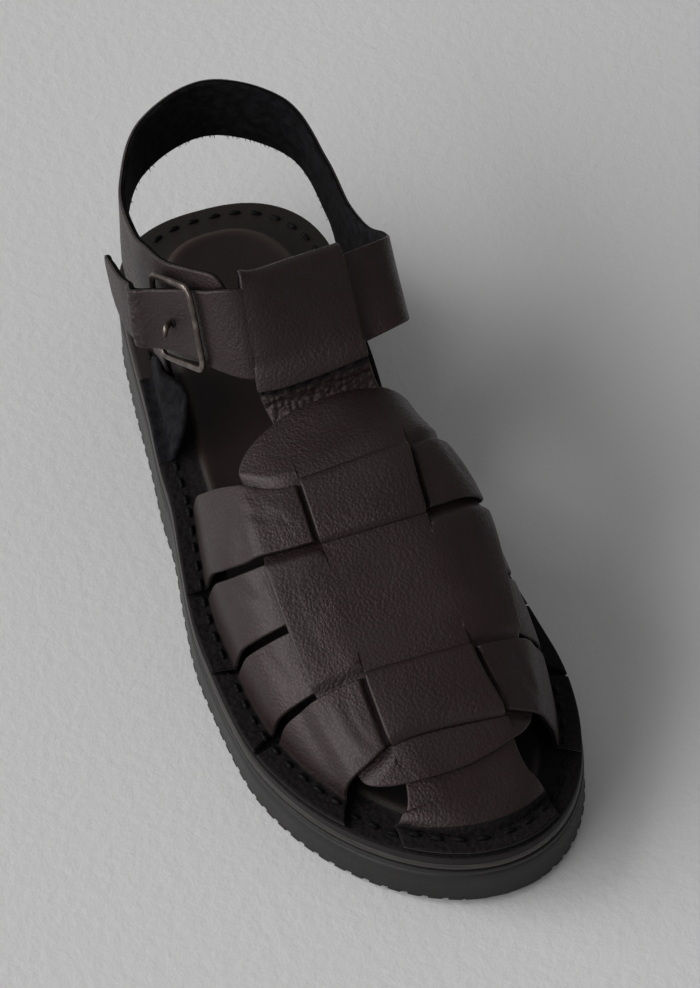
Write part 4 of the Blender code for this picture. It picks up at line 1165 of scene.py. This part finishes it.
def centre_rows():
    """Points of the centre strap's inner face, from the toe edge to the loop's end."""
    shares = across(18, 0.031)
    rows = []

    def columns_at(y):
        low, high = centre_sides(y)
        return low + (high - low) * shares

    for inset, place in ((0.0005, -0.50), (0.0040, -0.48), (0.0068, -0.465), (STITCH_MARGIN, -0.46)):
        x = columns_at(place * SHOE_LENGTH)
        y = toe_edge_y(x, inset)
        rows.append(np.stack([x, y, rim_height(y) + GAP], -1))
    fold = rows[-1]

    def on_row(y):
        x = columns_at(y)
        ys = np.full_like(x, y)
        station = stations_of(x, ys)
        return on_form(station, ys, weave_lift(x, ys, station))

    toe_top = on_row(TOE_TOP_Y)
    for share in (0.2, 0.4, 0.6, 0.8):
        bow = 0.0020 * sin(pi * share)
        rows.append(fold + (toe_top - fold) * share + np.array([0.0, -0.4, 0.9]) * bow)
    rows += [on_row(y) for y in np.arange(TOE_TOP_Y, 0.0, ROW_PITCH)]
    # Up the bar of the T, then outside the ankle band, over its top and down inside it.
    x = columns_at(CENTRE_ROWS[-1].y * SHOE_LENGTH)
    low, top = band_edge(x, 1.0), band_edge(x, 0.0)
    up = unit(top - low)
    out = unit(np.cross(up, np.array([-1.0, 0.0, 0.0])))
    clear = LEATHER + BAND_GAP
    start = low - (top - low) * 0.12 + out * clear
    instep = rows[-1]
    for share in (0.25, 0.5, 0.75):
        bow = 0.0030 * sin(pi * share)
        rows.append(instep + (start - instep) * share + np.array([0.0, 0.8, -0.6]) * bow)
    seam = len(rows)
    rows += [low + (top - low) * share + out * clear for share in (-0.12, 0.1, 0.4, 0.7, 0.97)]
    middle, radius = (clear - BAND_GAP) / 2.0, (clear + BAND_GAP) / 2.0
    for turn in (0.2, 0.35, 0.5, 0.65, 0.8):
        angle = pi * turn
        rows.append(top + out * (middle + radius * cos(angle)) + up * (0.0003 + radius * sin(angle)))
    rows += [low + (top - low) * share - out * BAND_GAP for share in (0.97, 0.5, -0.10)]
    return rows, seam


# The fold's stitched end lies on the bar of the T as a step, with a black line of painted shade in front of
# it.
INSTEP_Y = -0.010
SEAM_STEP = 0.0007
SEAM_DIP = 0.0008
SEAM_LEAD = 0.0010

centre, seam_row = centre_rows()
grid, places = fine_rows(centre, 0.0011)
seam_run = run_of(np.array(centre))[seam_row]
climb = int(len(grid) * 0.7)
instep_run = np.interp(INSTEP_Y, grid[:climb, 9, 1], places[:climb])
past = places - seam_run
coarse = ease(0.0, 0.004, places - instep_run) * (1.0 - ease(-0.001, 0.0006, past))
relief = SEAM_STEP * ease(-0.0004, 0.0006, past) * (1.0 - ease(0.004, 0.009, past))
relief = relief - SEAM_DIP * np.exp(-((past + 0.0008) / 0.0007) ** 2)
jag = unevenness(grid, 0.0022, 41) * 0.0011
leather_sheet("centre_strap", grid, "upper", 10, passes=6, rough=near_sole(grid), coarse=coarse[:, None],
              relief=relief[:, None], ink=np.exp(-((past[:, None] + SEAM_LEAD + jag) / 0.0011) ** 4))
SEAM_LINE = grid[np.argmin(np.abs(past + SEAM_LEAD))]

# %% [markdown]
# ## The ankle strap
# One strip runs from the guard behind the buckle round the heel and back over the instep, through
# the loop, over the hinge bar and under the free bar to its pointed end. Two legs hold it to the
# sole. Its flesh side faces the foot.

# %% Ankle strap
GUARD_START = 1.56
BAND_START = 16.3
TAIL_END = 23.05
HINGE_PLACE = 21.12
HINGE_SPREAD = 0.17
HINGE_RISE = 0.0024
END_REACH = 0.55
LEG_BLEND = 0.6
Leg = namedtuple("Leg", "start end foot_x foot_start foot_end")
LEGS = table(Leg, [
    (5.05, 6.0, -0.290, 0.205, 0.262),
    (12.0, 13.0, 0.380, 0.262, 0.205),
])
BilletRow = namedtuple("BilletRow", "place lift top low")
BILLET = table(BilletRow, [
    (16.3, 0.0000, 0.00, 1.00),
    (17.2, 0.0002, 0.00, 1.00),
    (17.8, 0.0014, 0.00, 1.00),
    (18.3, 0.0028, 0.03, 0.98),
    (19.2, 0.0029, 0.14, 0.94),
    (20.0, 0.0036, 0.17, 0.88),
    (20.6, 0.0058, 0.18, 0.82),
    (21.1, 0.0088, 0.18, 0.78),
    (21.8, 0.0098, 0.18, 0.72),
    (22.5, 0.0092, 0.17, 0.60),
    (23.05, 0.0085, 0.20, 0.36),
])


def ankle_places():
    """Ring places of the strap's rows, close together at its ends and at the legs' sides."""
    places = [np.arange(GUARD_START, TAIL_END, 0.085)]
    fine = np.array([0.0, 0.008, 0.02, 0.04, 0.07, 0.12, 0.2])
    places += [GUARD_START + fine, TAIL_END - fine, HINGE_PLACE + HINGE_SPREAD * np.linspace(-2.6, 2.6, 22)]
    for leg in LEGS:
        places += [leg.start - fine, leg.start + fine, leg.end - fine, leg.end + fine]
    return np.unique(np.concatenate(places).round(3))


def ankle_grid():
    """The strap's inner face, with the legs below its low edge."""
    place = ankle_places()
    shares = across(14, 0.024)
    lift, top, low = (np.where(place < BAND_START, plain, look_up(BILLET, "place", name, place))
                      for name, plain in (("lift", 0.0), ("top", 0.0), ("low", 1.0)))
    # Both ends narrow to a round point.
    guard = np.clip((place - GUARD_START) / END_REACH, 0.0, 1.0)
    guard = 0.35 + 0.65 * np.sqrt(1.0 - (1.0 - guard) ** 2.2)
    tail = np.clip((TAIL_END - place) / END_REACH, 0.0, 1.0)
    tail = 0.30 + 0.70 * np.sqrt(1.0 - (1.0 - tail) ** 2.0)
    middle, half = (top + low) / 2.0, (low - top) / 2.0 * guard * tail
    top, low = middle - half, middle + half
    width = top[:, None] + (low - top)[:, None] * shares[None, :]
    strap = ring_point(place[:, None], width, np.broadcast_to(lift[:, None], width.shape))
    edge = strap[:, -1]
    down = unit(strap[:, -1] - strap[:, -2]) * 0.00004
    steps = np.concatenate([np.linspace(0.0, 0.94, 16)[1:], [0.97, 0.99, 1.0]])
    legs = []
    for share in steps:
        row = edge + down * share
        for leg in LEGS:
            beyond = np.maximum(np.maximum(leg.start - place, place - leg.end), 0.0)
            reach = np.clip(1.0 - beyond / LEG_BLEND, 0.0, 1.0) ** 7
            across_leg = np.clip((place - leg.start) / (leg.end - leg.start), -0.3, 1.3)
            y = (leg.foot_start + (leg.foot_end - leg.foot_start) * across_leg) * SHOE_LENGTH
            foot = np.stack([np.full_like(y, leg.foot_x * ANKLE_WIDTH), y, rim_height(y) + GAP], -1)
            row = row + (foot - edge) * (reach * share)[:, None]
        legs.append(row)
    return np.concatenate([strap, np.stack(legs, 1)], 1)


ANKLE_CREASES = [crease((-0.022, 0.024), (-0.023, 0.014), 0.0002, 0.0012)]
ankle = ankle_grid()
# Over the hinge bar the strap is drawn up into a crinkled ridge.
ridge = np.exp(-((ankle_places() - HINGE_PLACE) / HINGE_SPREAD) ** 2)[:, None]
crinkle = unevenness(ankle, 0.0019, 31)
leather_sheet("ankle_strap", ankle, "ankle_strap", 11, side=-1.0, passes=3, creases=ANKLE_CREASES,
              relief=ridge * (HINGE_RISE + 0.0009 * crinkle), coarse=ridge * 0.5)

# %% [markdown]
# ## The sole
# Rings of points run round the sole at different insets and heights. Neighbouring rings are joined
# by walls and the last one is closed by strips from side to side. The rubber wedge has a bead under
# its top edge and lugs that show as small teeth on the floor.


# %% Sole rings
class SoleMesh:
    """Rings of points round the sole, each an outer side, an inner side and two tips."""

    def __init__(self):
        self.points = []
        self.faces = []
        self.looks = []

    def ring(self, shares, inset, height):
        """Add a ring; returns the indices of its outer and inner sides."""
        sides = []
        for side in (-1, 1):
            x, y = sole_side(shares, inset, side)
            z = height(y)
            indices = []
            for step in range(len(shares)):
                if side == 1 and step in (0, len(shares) - 1):
                    indices.append(sides[0][step])
                    continue
                self.points.append((x[step], y[step], z[step]))
                indices.append(len(self.points) - 1)
            sides.append(indices)
        return sides

    def face(self, *indices, look=0):
        """Add a face without repeated corners."""
        kept = [index for place, index in enumerate(indices) if index != indices[place - 1]]
        if len(set(kept)) > 2:
            self.faces.append(kept)
            self.looks.append(look)

    def wall(self, low, high, look=0):
        """Join two rings that have the same stations."""
        for step in range(len(low[0]) - 1):
            self.face(low[0][step], low[0][step + 1], high[0][step + 1], high[0][step], look=look)
            self.face(low[1][step + 1], low[1][step], high[1][step], high[1][step + 1], look=look)

    def deck(self, ring, up):
        """Close a ring with strips from side to side."""
        for step in range(len(ring[0]) - 1):
            strip = [ring[0][step], ring[0][step + 1], ring[1][step + 1], ring[1][step]]
            self.face(*(strip if up else reversed(strip)))

    def stack(self, shares, level, profile):
        """Add a ring for each inset and height above level."""
        return [self.ring(shares, inset, lambda y, up=up: level(y) + up) for inset, up in profile]


# Each row gives the inset, the height above the rim, how dark and coarse the margin is (rough) and how strong
# a painted highlight lies along the footbed's ridge (line).
InsoleRow = namedtuple("InsoleRow", "inset up rough line")
INSOLE_PROFILE = table(InsoleRow, [
    (0.0005, -INSOLE_THICKNESS, 0, 0),
    (0.0004, -0.0016, 0, 0),
    (0.0005, -0.0006, 1, 0),
    (0.0009, -0.0001, 1, 0),
    (0.0016, 0.0, 1, 0),
    (0.0060, 0.0, 1, 0),
    (0.0112, 0.0001, 1, 0),
    (0.0122, 0.0006, 0.6, 0),
    (0.0130, 0.0012, 0.1, 1),
    (0.0138, 0.0015, 0, 1),
    (0.0148, 0.0014, 0, 0.3),
    (0.0165, 0.0011, 0, 0),
    (0.0200, 0.0008, 0, 0),
    (0.0260, 0.0005, 0, 0),
    (0.0310, 0.0004, 0, 0),
])
MIDSOLE_PROFILE = [(0.0007, -MIDSOLE_THICKNESS), (0.0003, -0.0018), (0.0002, -0.0010), (0.0006, 0.0)]
BEAD_PROFILE = [(0.0030, 0.0), (0.0005, 0.0), (0.0001, -0.0003), (0.0, -0.0009), (0.0002, -0.0016),
                (0.0005, -0.0019), (0.0002, -0.0023), (0.0, -0.0032), (0.0, -0.0060)]
WALL_PROFILE = [(0.0001, 0.0042), (0.0, 0.0028), (0.0, 0.0014), (-0.05 * SOLE_FLARE, 0.35 * LUG_DEPTH)]
BROWN_FROM_Y = 0.060


def build_insole():
    """Leather insole with a rolled edge, a flat margin and a raised, dished footbed."""
    sole = SoleMesh()
    rings = sole.stack(outline_shares(0.0014), rim_height, [(row.inset, row.up) for row in INSOLE_PROFILE])
    for low, high, row in zip(rings, rings[1:], INSOLE_PROFILE):
        sole.wall(low, high, look=row.rough > 0.9)
    sole.deck(rings[-1], up=True)
    sole.deck(rings[0], up=False)
    # The margin is black and coarse, except round the heel, where no strap is trodden on it.
    looks = [int(look and np.mean([sole.points[index][1] for index in face]) < BROWN_FROM_Y)
             for look, face in zip(sole.looks, sole.faces)]
    points = np.array(sole.points)
    per_ring = len(points) // len(INSOLE_PROFILE)
    rough, line = (np.repeat(column(INSOLE_PROFILE, name), per_ring) for name in ("rough", "line"))
    heel = ease(0.030, BROWN_FROM_Y, points[:, 1])
    toe = ease(0.060, 0.090, -points[:, 1])
    rough = np.maximum(rough * (1.0 - 0.55 * heel), 0.85 * toe)
    # The painted highlight on the footbed's ridge is strongest round the heel.
    make_piece("insole", points, sole.faces, [INSOLE, FLANGE], looks, "insole",
               painted={"rough": rough, "line": line * (0.25 + 0.75 * heel)})


def build_midsole():
    """Thin layer between rubber and insole."""
    sole = SoleMesh()
    under = INSOLE_THICKNESS + GAP
    rings = sole.stack(outline_shares(0.0020), lambda y: rim_height(y) - under, MIDSOLE_PROFILE)
    for low, high in zip(rings, rings[1:]):
        sole.wall(low, high)
    sole.deck(rings[-1], up=True)
    sole.deck(rings[0], up=False)
    make_piece("midsole", sole.points, sole.faces, [WELT], sole.looks, "midsole")


def lug_shares():
    """Stations with two for each lug's width and two for each groove."""
    pitch = 0.0002
    even = outline_shares(pitch)
    total = (len(even) - 1) * pitch
    starts = np.arange(0.0, total - LUG_PITCH, LUG_PITCH)[:, None]
    inside = np.array([0.0, LUG_WIDTH / 2.0, LUG_WIDTH, (LUG_WIDTH + LUG_PITCH) / 2.0])[None, :]
    stops = np.concatenate([(starts + inside).ravel(), [total]])
    return np.interp(stops, np.linspace(0.0, total, len(even)), even)


def build_outsole():
    """Rubber wedge with a bead under its top edge and lugs across its underside."""
    shares = lug_shares()
    sole = SoleMesh()
    under = MIDSOLE_THICKNESS + INSOLE_THICKNESS + 2.0 * GAP
    rings = sole.stack(shares, lambda y: rim_height(y) - under, BEAD_PROFILE)
    rings += sole.stack(shares, toe_spring, WALL_PROFILE)
    for high, low in zip(rings, rings[1:]):
        sole.wall(low, high)
    sole.deck(rings[0], up=True)
    floor = sole.ring(shares, -0.25 * SOLE_FLARE, toe_spring)
    roof = rings[-1]
    grooves = [step % 4 > 1 and 3 < step < len(shares) - 6 for step in range(len(shares) - 1)]
    for step, is_groove in enumerate(grooves):
        level = roof if is_groove else floor
        sole.face(level[1][step + 1], level[0][step + 1], level[0][step], level[1][step])
        if is_groove:
            continue
        sole.face(floor[0][step], floor[0][step + 1], roof[0][step + 1], roof[0][step])
        sole.face(floor[1][step + 1], floor[1][step], roof[1][step], roof[1][step + 1])
        if step > 0 and grooves[step - 1]:
            sole.face(roof[0][step], roof[1][step], floor[1][step], floor[0][step])
        if step + 1 < len(grooves) and grooves[step + 1]:
            sole.face(floor[0][step + 1], floor[1][step + 1], roof[1][step + 1], roof[0][step + 1])
    make_piece("outsole", sole.points, sole.faces, [RUBBER], sole.looks, "outsole", sharp=40.0)


build_outsole()
build_midsole()
build_insole()

# %% [markdown]
# ## Suede tabs
# Two round tabs stand on the stitched margin over the legs. They are offcuts with the flesh side
# out, so both of their faces have a nap.

# %% Tabs
Tab = namedtuple("Tab", "side back front lean")
TABS = {
    "side_tab_lateral": Tab(-1, 0.262, 0.130, 0.0002),
    "side_tab_medial": Tab(1, 0.258, 0.112, -0.0032),
}
TAB_FLOP = 0.0075
TAB_THICKNESS = 0.0018


def build_tab(name, seed):
    """A round tab that folds up from the margin."""
    tab = TABS[name]
    middle, half = (tab.back + tab.front) / 2.0 * SHOE_LENGTH, (tab.back - tab.front) / 2.0 * SHOE_LENGTH
    turns = np.radians(np.linspace(10.0, 170.0, 44))
    y = middle + half * np.cos(turns)
    height = np.maximum(TAB_HEIGHT * np.sin(turns) ** 0.8, 0.0050)
    base = rim_height(y) + GAP
    rows = [np.stack([sole_x(y, inset, tab.side), y, base + up], -1)
            for inset, up in ((0.0005, 0.0), (0.0025, 0.0), (0.0036, 0.00015), (TAB_MARGIN, 0.0010))]
    # In front of the leg the tab flops inwards over the insole.
    flop = TAB_FLOP * (1.0 - ease(0.044, 0.056, y))
    for share in (0.2, 0.4, 0.6, 0.8, 1.0):
        lean = (tab.lean + flop) * share ** 1.4 * height / TAB_HEIGHT
        x = sole_x(y, TAB_MARGIN, tab.side) - tab.side * lean
        rows.append(np.stack([x, y, base + height * share], -1))
    grid, _ = fine_rows(rows, 0.0010)
    leather_sheet(name, grid, name, seed, slot="suede", thickness=TAB_THICKNESS, side=float(tab.side),
                  wave=0.00022, skins=[SUEDE, SUEDE, SUEDE])


build_tab("side_tab_lateral", 12)
build_tab("side_tab_medial", 13)

# %% [markdown]
# ## Buckle
# The frame is a flattened wire bent into a rectangle with round corners. The strap passes over its
# hinge bar and under its free bar. The prong comes up through the strap's hole and its tip bends
# down over it.


# %% Buckle
UPRIGHT = np.array([0.0, 0.0, 1.0])


def tube(path, radii, closed=False, sides=14, flat=1.0, up=None):
    """Points and faces of a tube along a path; flat squeezes it along one direction."""
    path = np.asarray(path, float)
    count = len(path)
    ahead = np.roll(path, -1, 0) - np.roll(path, 1, 0)
    if not closed:
        ahead[0], ahead[-1] = path[1] - path[0], path[-1] - path[-2]
    tangent = unit(ahead)
    if up is None:
        centre = path.mean(0)
        up = unit(np.cross(path - centre, np.roll(path, -1, 0) - centre).sum(0))
    side = unit(np.cross(tangent, up))
    top = np.cross(side, tangent)
    turns = 2.0 * pi * np.arange(sides) / sides
    radii = np.broadcast_to(radii, (count,))[:, None, None]
    points = (path[:, None, :] + radii * (side[:, None, :] * np.cos(turns)[None, :, None]
              + flat * top[:, None, :] * np.sin(turns)[None, :, None]))
    faces = []
    for step in range(count if closed else count - 1):
        low, high = step * sides, (step + 1) % count * sides
        for turn in range(sides):
            after = (turn + 1) % sides
            faces.append([low + turn, low + after, high + after, high + turn])
    if not closed:
        faces.append(list(reversed(range(sides))))
        faces.append([(count - 1) * sides + turn for turn in range(sides)])
    return points.reshape(-1, 3), faces


def tube_piece(name, paths, radii, material, node, slot, **shape):
    """One mesh with a tube along every path, all with the same radii."""
    points, faces, start = [], [], 0
    for path in paths:
        more, sides = tube(path, radii, **shape)
        points.append(more)
        faces += [[index + start for index in face] for face in sides]
        start += len(more)
    return make_piece(name, np.concatenate(points), faces, [material], np.zeros(len(faces)), node)


FREE_BAR_LIFT = 0.0068
HINGE_BAR_LIFT = 0.0052
FREE_BAR_PLACE = 2.44
HINGE_BAR_PLACE = 4.08
CORNER_SHARE = 0.16
FRAME_TOP = 0.10
FRAME_LOW = 0.95
corners = [ring_point(FREE_BAR_PLACE, FRAME_TOP, FREE_BAR_LIFT),
           ring_point(FREE_BAR_PLACE, FRAME_LOW, FREE_BAR_LIFT),
           ring_point(HINGE_BAR_PLACE, FRAME_LOW, HINGE_BAR_LIFT),
           ring_point(HINGE_BAR_PLACE, FRAME_TOP, HINGE_BAR_LIFT)]
path = []
for step, corner in enumerate(corners):
    following = corners[(step + 1) % 4]
    start = corner + (corners[step - 1] - corner) * CORNER_SHARE
    end = corner + (following - corner) * CORNER_SHARE
    for share in np.linspace(0.0, 1.0, 9):
        path.append(start * (1 - share) ** 2 + corner * 2 * share * (1 - share) + end * share ** 2)
    beyond = following + (corner - following) * CORNER_SHARE
    path += [end + (beyond - end) * share for share in (0.25, 0.5, 0.75)]
tube_piece("buckle_frame", [path], BUCKLE_WIRE / 2.0, METAL, "buckle_frame", "dark_metal",
           closed=True, flat=0.8)

# The prong from the hinge bar over the free bar: ring place, share of the width and lift.
PRONG = [(3.89, 0.52, 0.0050), (3.60, 0.52, 0.0053), (3.42, 0.52, 0.0066), (3.34, 0.53, 0.0090),
         (3.33, 0.63, 0.0104)]
bends = np.array([ring_point(*bend) for bend in PRONG])
spread = np.linspace(0.0, 4.0, 25)
path = np.stack([smooth_values(range(5), bends[:, axis], spread) for axis in range(3)], -1)
radii = PRONG_WIRE / 2.0 * np.sqrt(np.clip(1.04 - (spread / 4.0) ** 8, 0.05, 1.0))
tube_piece("buckle_prong", [path], radii, METAL, "buckle_prong", "dark_metal")

# A small black disc round the prong is painted shade that stands for the strap's hole.
spot = [ring_point(20.36, 0.53, lift) for lift in (0.0060, 0.00672, 0.00682)]
tube_piece("prong_hole", [spot], (0.0014, 0.0015, 0.0011), SUEDE, None, "strap_leather", sides=20, up=UPRIGHT)

# %% [markdown]
# ## Stitches
# A thick black thread runs all round the margin through the flanges, and another row closes the
# fold of the centre strap. Each stitch is a short tube whose ends dip into the leather.


# %% Stitches
MARGIN_THREAD = 0.00080
FOLD_THREAD = 0.0006
STITCH_PITCH = 0.0066
STITCH_LENGTH = 0.0040
THREAD_STEPS = np.linspace(-1.0, 1.0, 7)
ARCH = np.sqrt(np.clip(1.0 - THREAD_STEPS ** 2, 0.0, 1.0))


def stitch_row(name, paths, radius):
    """One mesh with a short rounded tube along every path."""
    radii = radius * np.sqrt(np.clip(1.0 - THREAD_STEPS ** 4, 0.04, 1.0))
    return tube_piece(name, paths, radii, THREAD, None, "strap_leather", sides=8, up=UPRIGHT)


def flange_height(x, y, side):
    """How high the leather lies on the margin at a place."""
    station = 0.62 if side < 0 else 6.36
    height = 0.0
    for name in CROSS_STRAPS:
        back, front = strap_edges(name, station)
        if front < y < back:
            height = GAP + LEATHER
    low, high = centre_sides(-0.48 * SHOE_LENGTH)
    if y < -0.118 and low < x < high:
        height = GAP + LEATHER
    for tab in TABS.values():
        if tab.side == side and tab.front * SHOE_LENGTH < y < tab.back * SHOE_LENGTH:
            height = GAP + TAB_THICKNESS
    return height


def margin_paths():
    """Paths of the stitches round the margin."""
    fine = outline_shares(0.0004)
    paths = []
    for side in (-1, 1):
        x, y = sole_side(fine, STITCH_INSET, side)
        run = np.concatenate([[0.0], np.cumsum(np.hypot(np.diff(x), np.diff(y)))])
        for start in np.arange(0.0015, run[-1] - 0.0045, STITCH_PITCH):
            stops = np.linspace(start, start + STITCH_LENGTH, len(ARCH))
            px, py = np.interp(stops, run, x), np.interp(stops, run, y)
            lift = flange_height(px[3], py[3], side)
            paths.append(np.stack([px, py, rim_height(py) + lift + (ARCH * 0.0006 - 0.0004)], -1))
    return paths


def seam_paths():
    """Paths of the stitches across the centre strap's fold."""
    outward = unit(np.cross(SEAM_LINE[-1] - SEAM_LINE[0], np.array([0.0, 0.45, 0.9])))
    even = np.linspace(0, 1, len(SEAM_LINE))
    paths = []
    for start in np.linspace(0.06, 0.86, 8):
        shares = np.linspace(start, start + 0.075, len(ARCH))
        spots = np.stack([np.interp(shares, even, SEAM_LINE[:, axis]) for axis in range(3)], -1)
        paths.append(spots + outward * (LEATHER - 0.0008 + ARCH * 0.0005)[:, None])
    return paths


stitch_row("margin_stitches", margin_paths(), MARGIN_THREAD)
stitch_row("fold_stitches", seam_paths(), FOLD_THREAD)

# %% [markdown]
# ## Fibres on the raw edge
# The back loop's low edge is cut through the loose flesh side, so short fibres stand out of it.
# Each one is a thin closed tube of random length and lean.


# %% Fringe
FIBRES = 460
FIBRES_FROM, FIBRES_TO = 7.3, 12.3
FIBRE_RADII = (0.00014, 0.00012, 0.00009, 0.00005)
FIBRE_STEPS = (0.0, 0.35, 0.7, 1.0)


def fibre_paths():
    """Paths of short fibres along the low edge of the back loop."""
    draw = np.random.default_rng(7)
    paths = []
    for place in np.linspace(FIBRES_FROM, FIBRES_TO, FIBRES):
        place = place + draw.uniform(-0.02, 0.02)
        down = unit(ring_raw(place, 1.0) - ring_raw(place, 0.0))
        root = ring_point(place, 0.985, draw.uniform(0.0003, 0.0010))
        lean = down + draw.normal(0.0, 0.45, 3)
        length = draw.uniform(0.0004, 0.0011)
        bend = draw.normal(0.0, 0.00012, 3)
        paths.append([root + lean * length * share + bend * share ** 2 for share in FIBRE_STEPS])
    return paths


tube_piece("edge_fibres", fibre_paths(), FIBRE_RADII, SUEDE, None, "suede",
           sides=4, up=np.array([0.3, 0.1, 1.0]))

# %% [markdown]
# ## Studio
# The shoe stands on a plain pale floor beside one wide window far to its left. The straps facing
# the window shine, the level leather stays dark and a soft shadow falls to the right. A small pane
# nearer the shoe shines down more steeply from a little behind, and puts the gloss on the shoulders
# of the straps.


# %% Floor, lights and world
def floor_material():
    """Matt pale grey floor with a hint of unevenness."""
    shader = Shader("floor")
    cloud = shader.noise(2.2, 2.0, 0.5)
    colour = shader.tint(cloud, 0.3, 0.7, (0.770, 0.770, 0.768), (0.800, 0.800, 0.798))
    tooth = shader.noise(260.0, 4.0, 0.65)
    return shader.set(Base_Color=colour, Roughness=0.95, Normal=shader.bump(tooth, 0.0009, 0.30))


def soft_light(name, place, aim, size, power):
    """A wide rectangular light; size is its width and height."""
    data = bpy.data.lights.new(name, "AREA")
    data.shape = "RECTANGLE"
    data.size, data.size_y = size
    data.energy = power
    light = bpy.data.objects.new(name, data)
    light.location = place
    light.rotation_euler = (Vector(aim) - Vector(place)).to_track_quat("-Z", "Y").to_euler()
    bpy.context.collection.objects.link(light)


FLOOR_HALF = 14
WORLD_STRENGTH = 0.205
FLOOR_CORNERS = [(x * FLOOR_HALF, y * FLOOR_HALF, 0) for x, y in ((-1, -1), (1, -1), (1, 1), (-1, 1))]
mesh = bpy.data.meshes.new("floor")
mesh.from_pydata(FLOOR_CORNERS, [], [(0, 1, 2, 3)])
mesh.materials.append(floor_material())
floor = bpy.data.objects.new("floor", mesh)
bpy.context.collection.objects.link(floor)

soft_light("window", place=(-6.2, -0.20, 3.00), aim=(0.2, 0.0, 0.0), size=(12.8, 4.8), power=585.0)
soft_light("upper_pane", place=(-2.6, 1.30, 3.00), aim=(0.0, 0.0, 0.05), size=(1.6, 0.8), power=15.0)

world = bpy.data.worlds.new("studio")
world.use_nodes = True
background = world.node_tree.nodes["Background"].inputs
background["Color"].default_value = (1.0, 1.0, 1.0, 1.0)
background["Strength"].default_value = WORLD_STRENGTH
bpy.context.scene.world = world
print("studio ready")
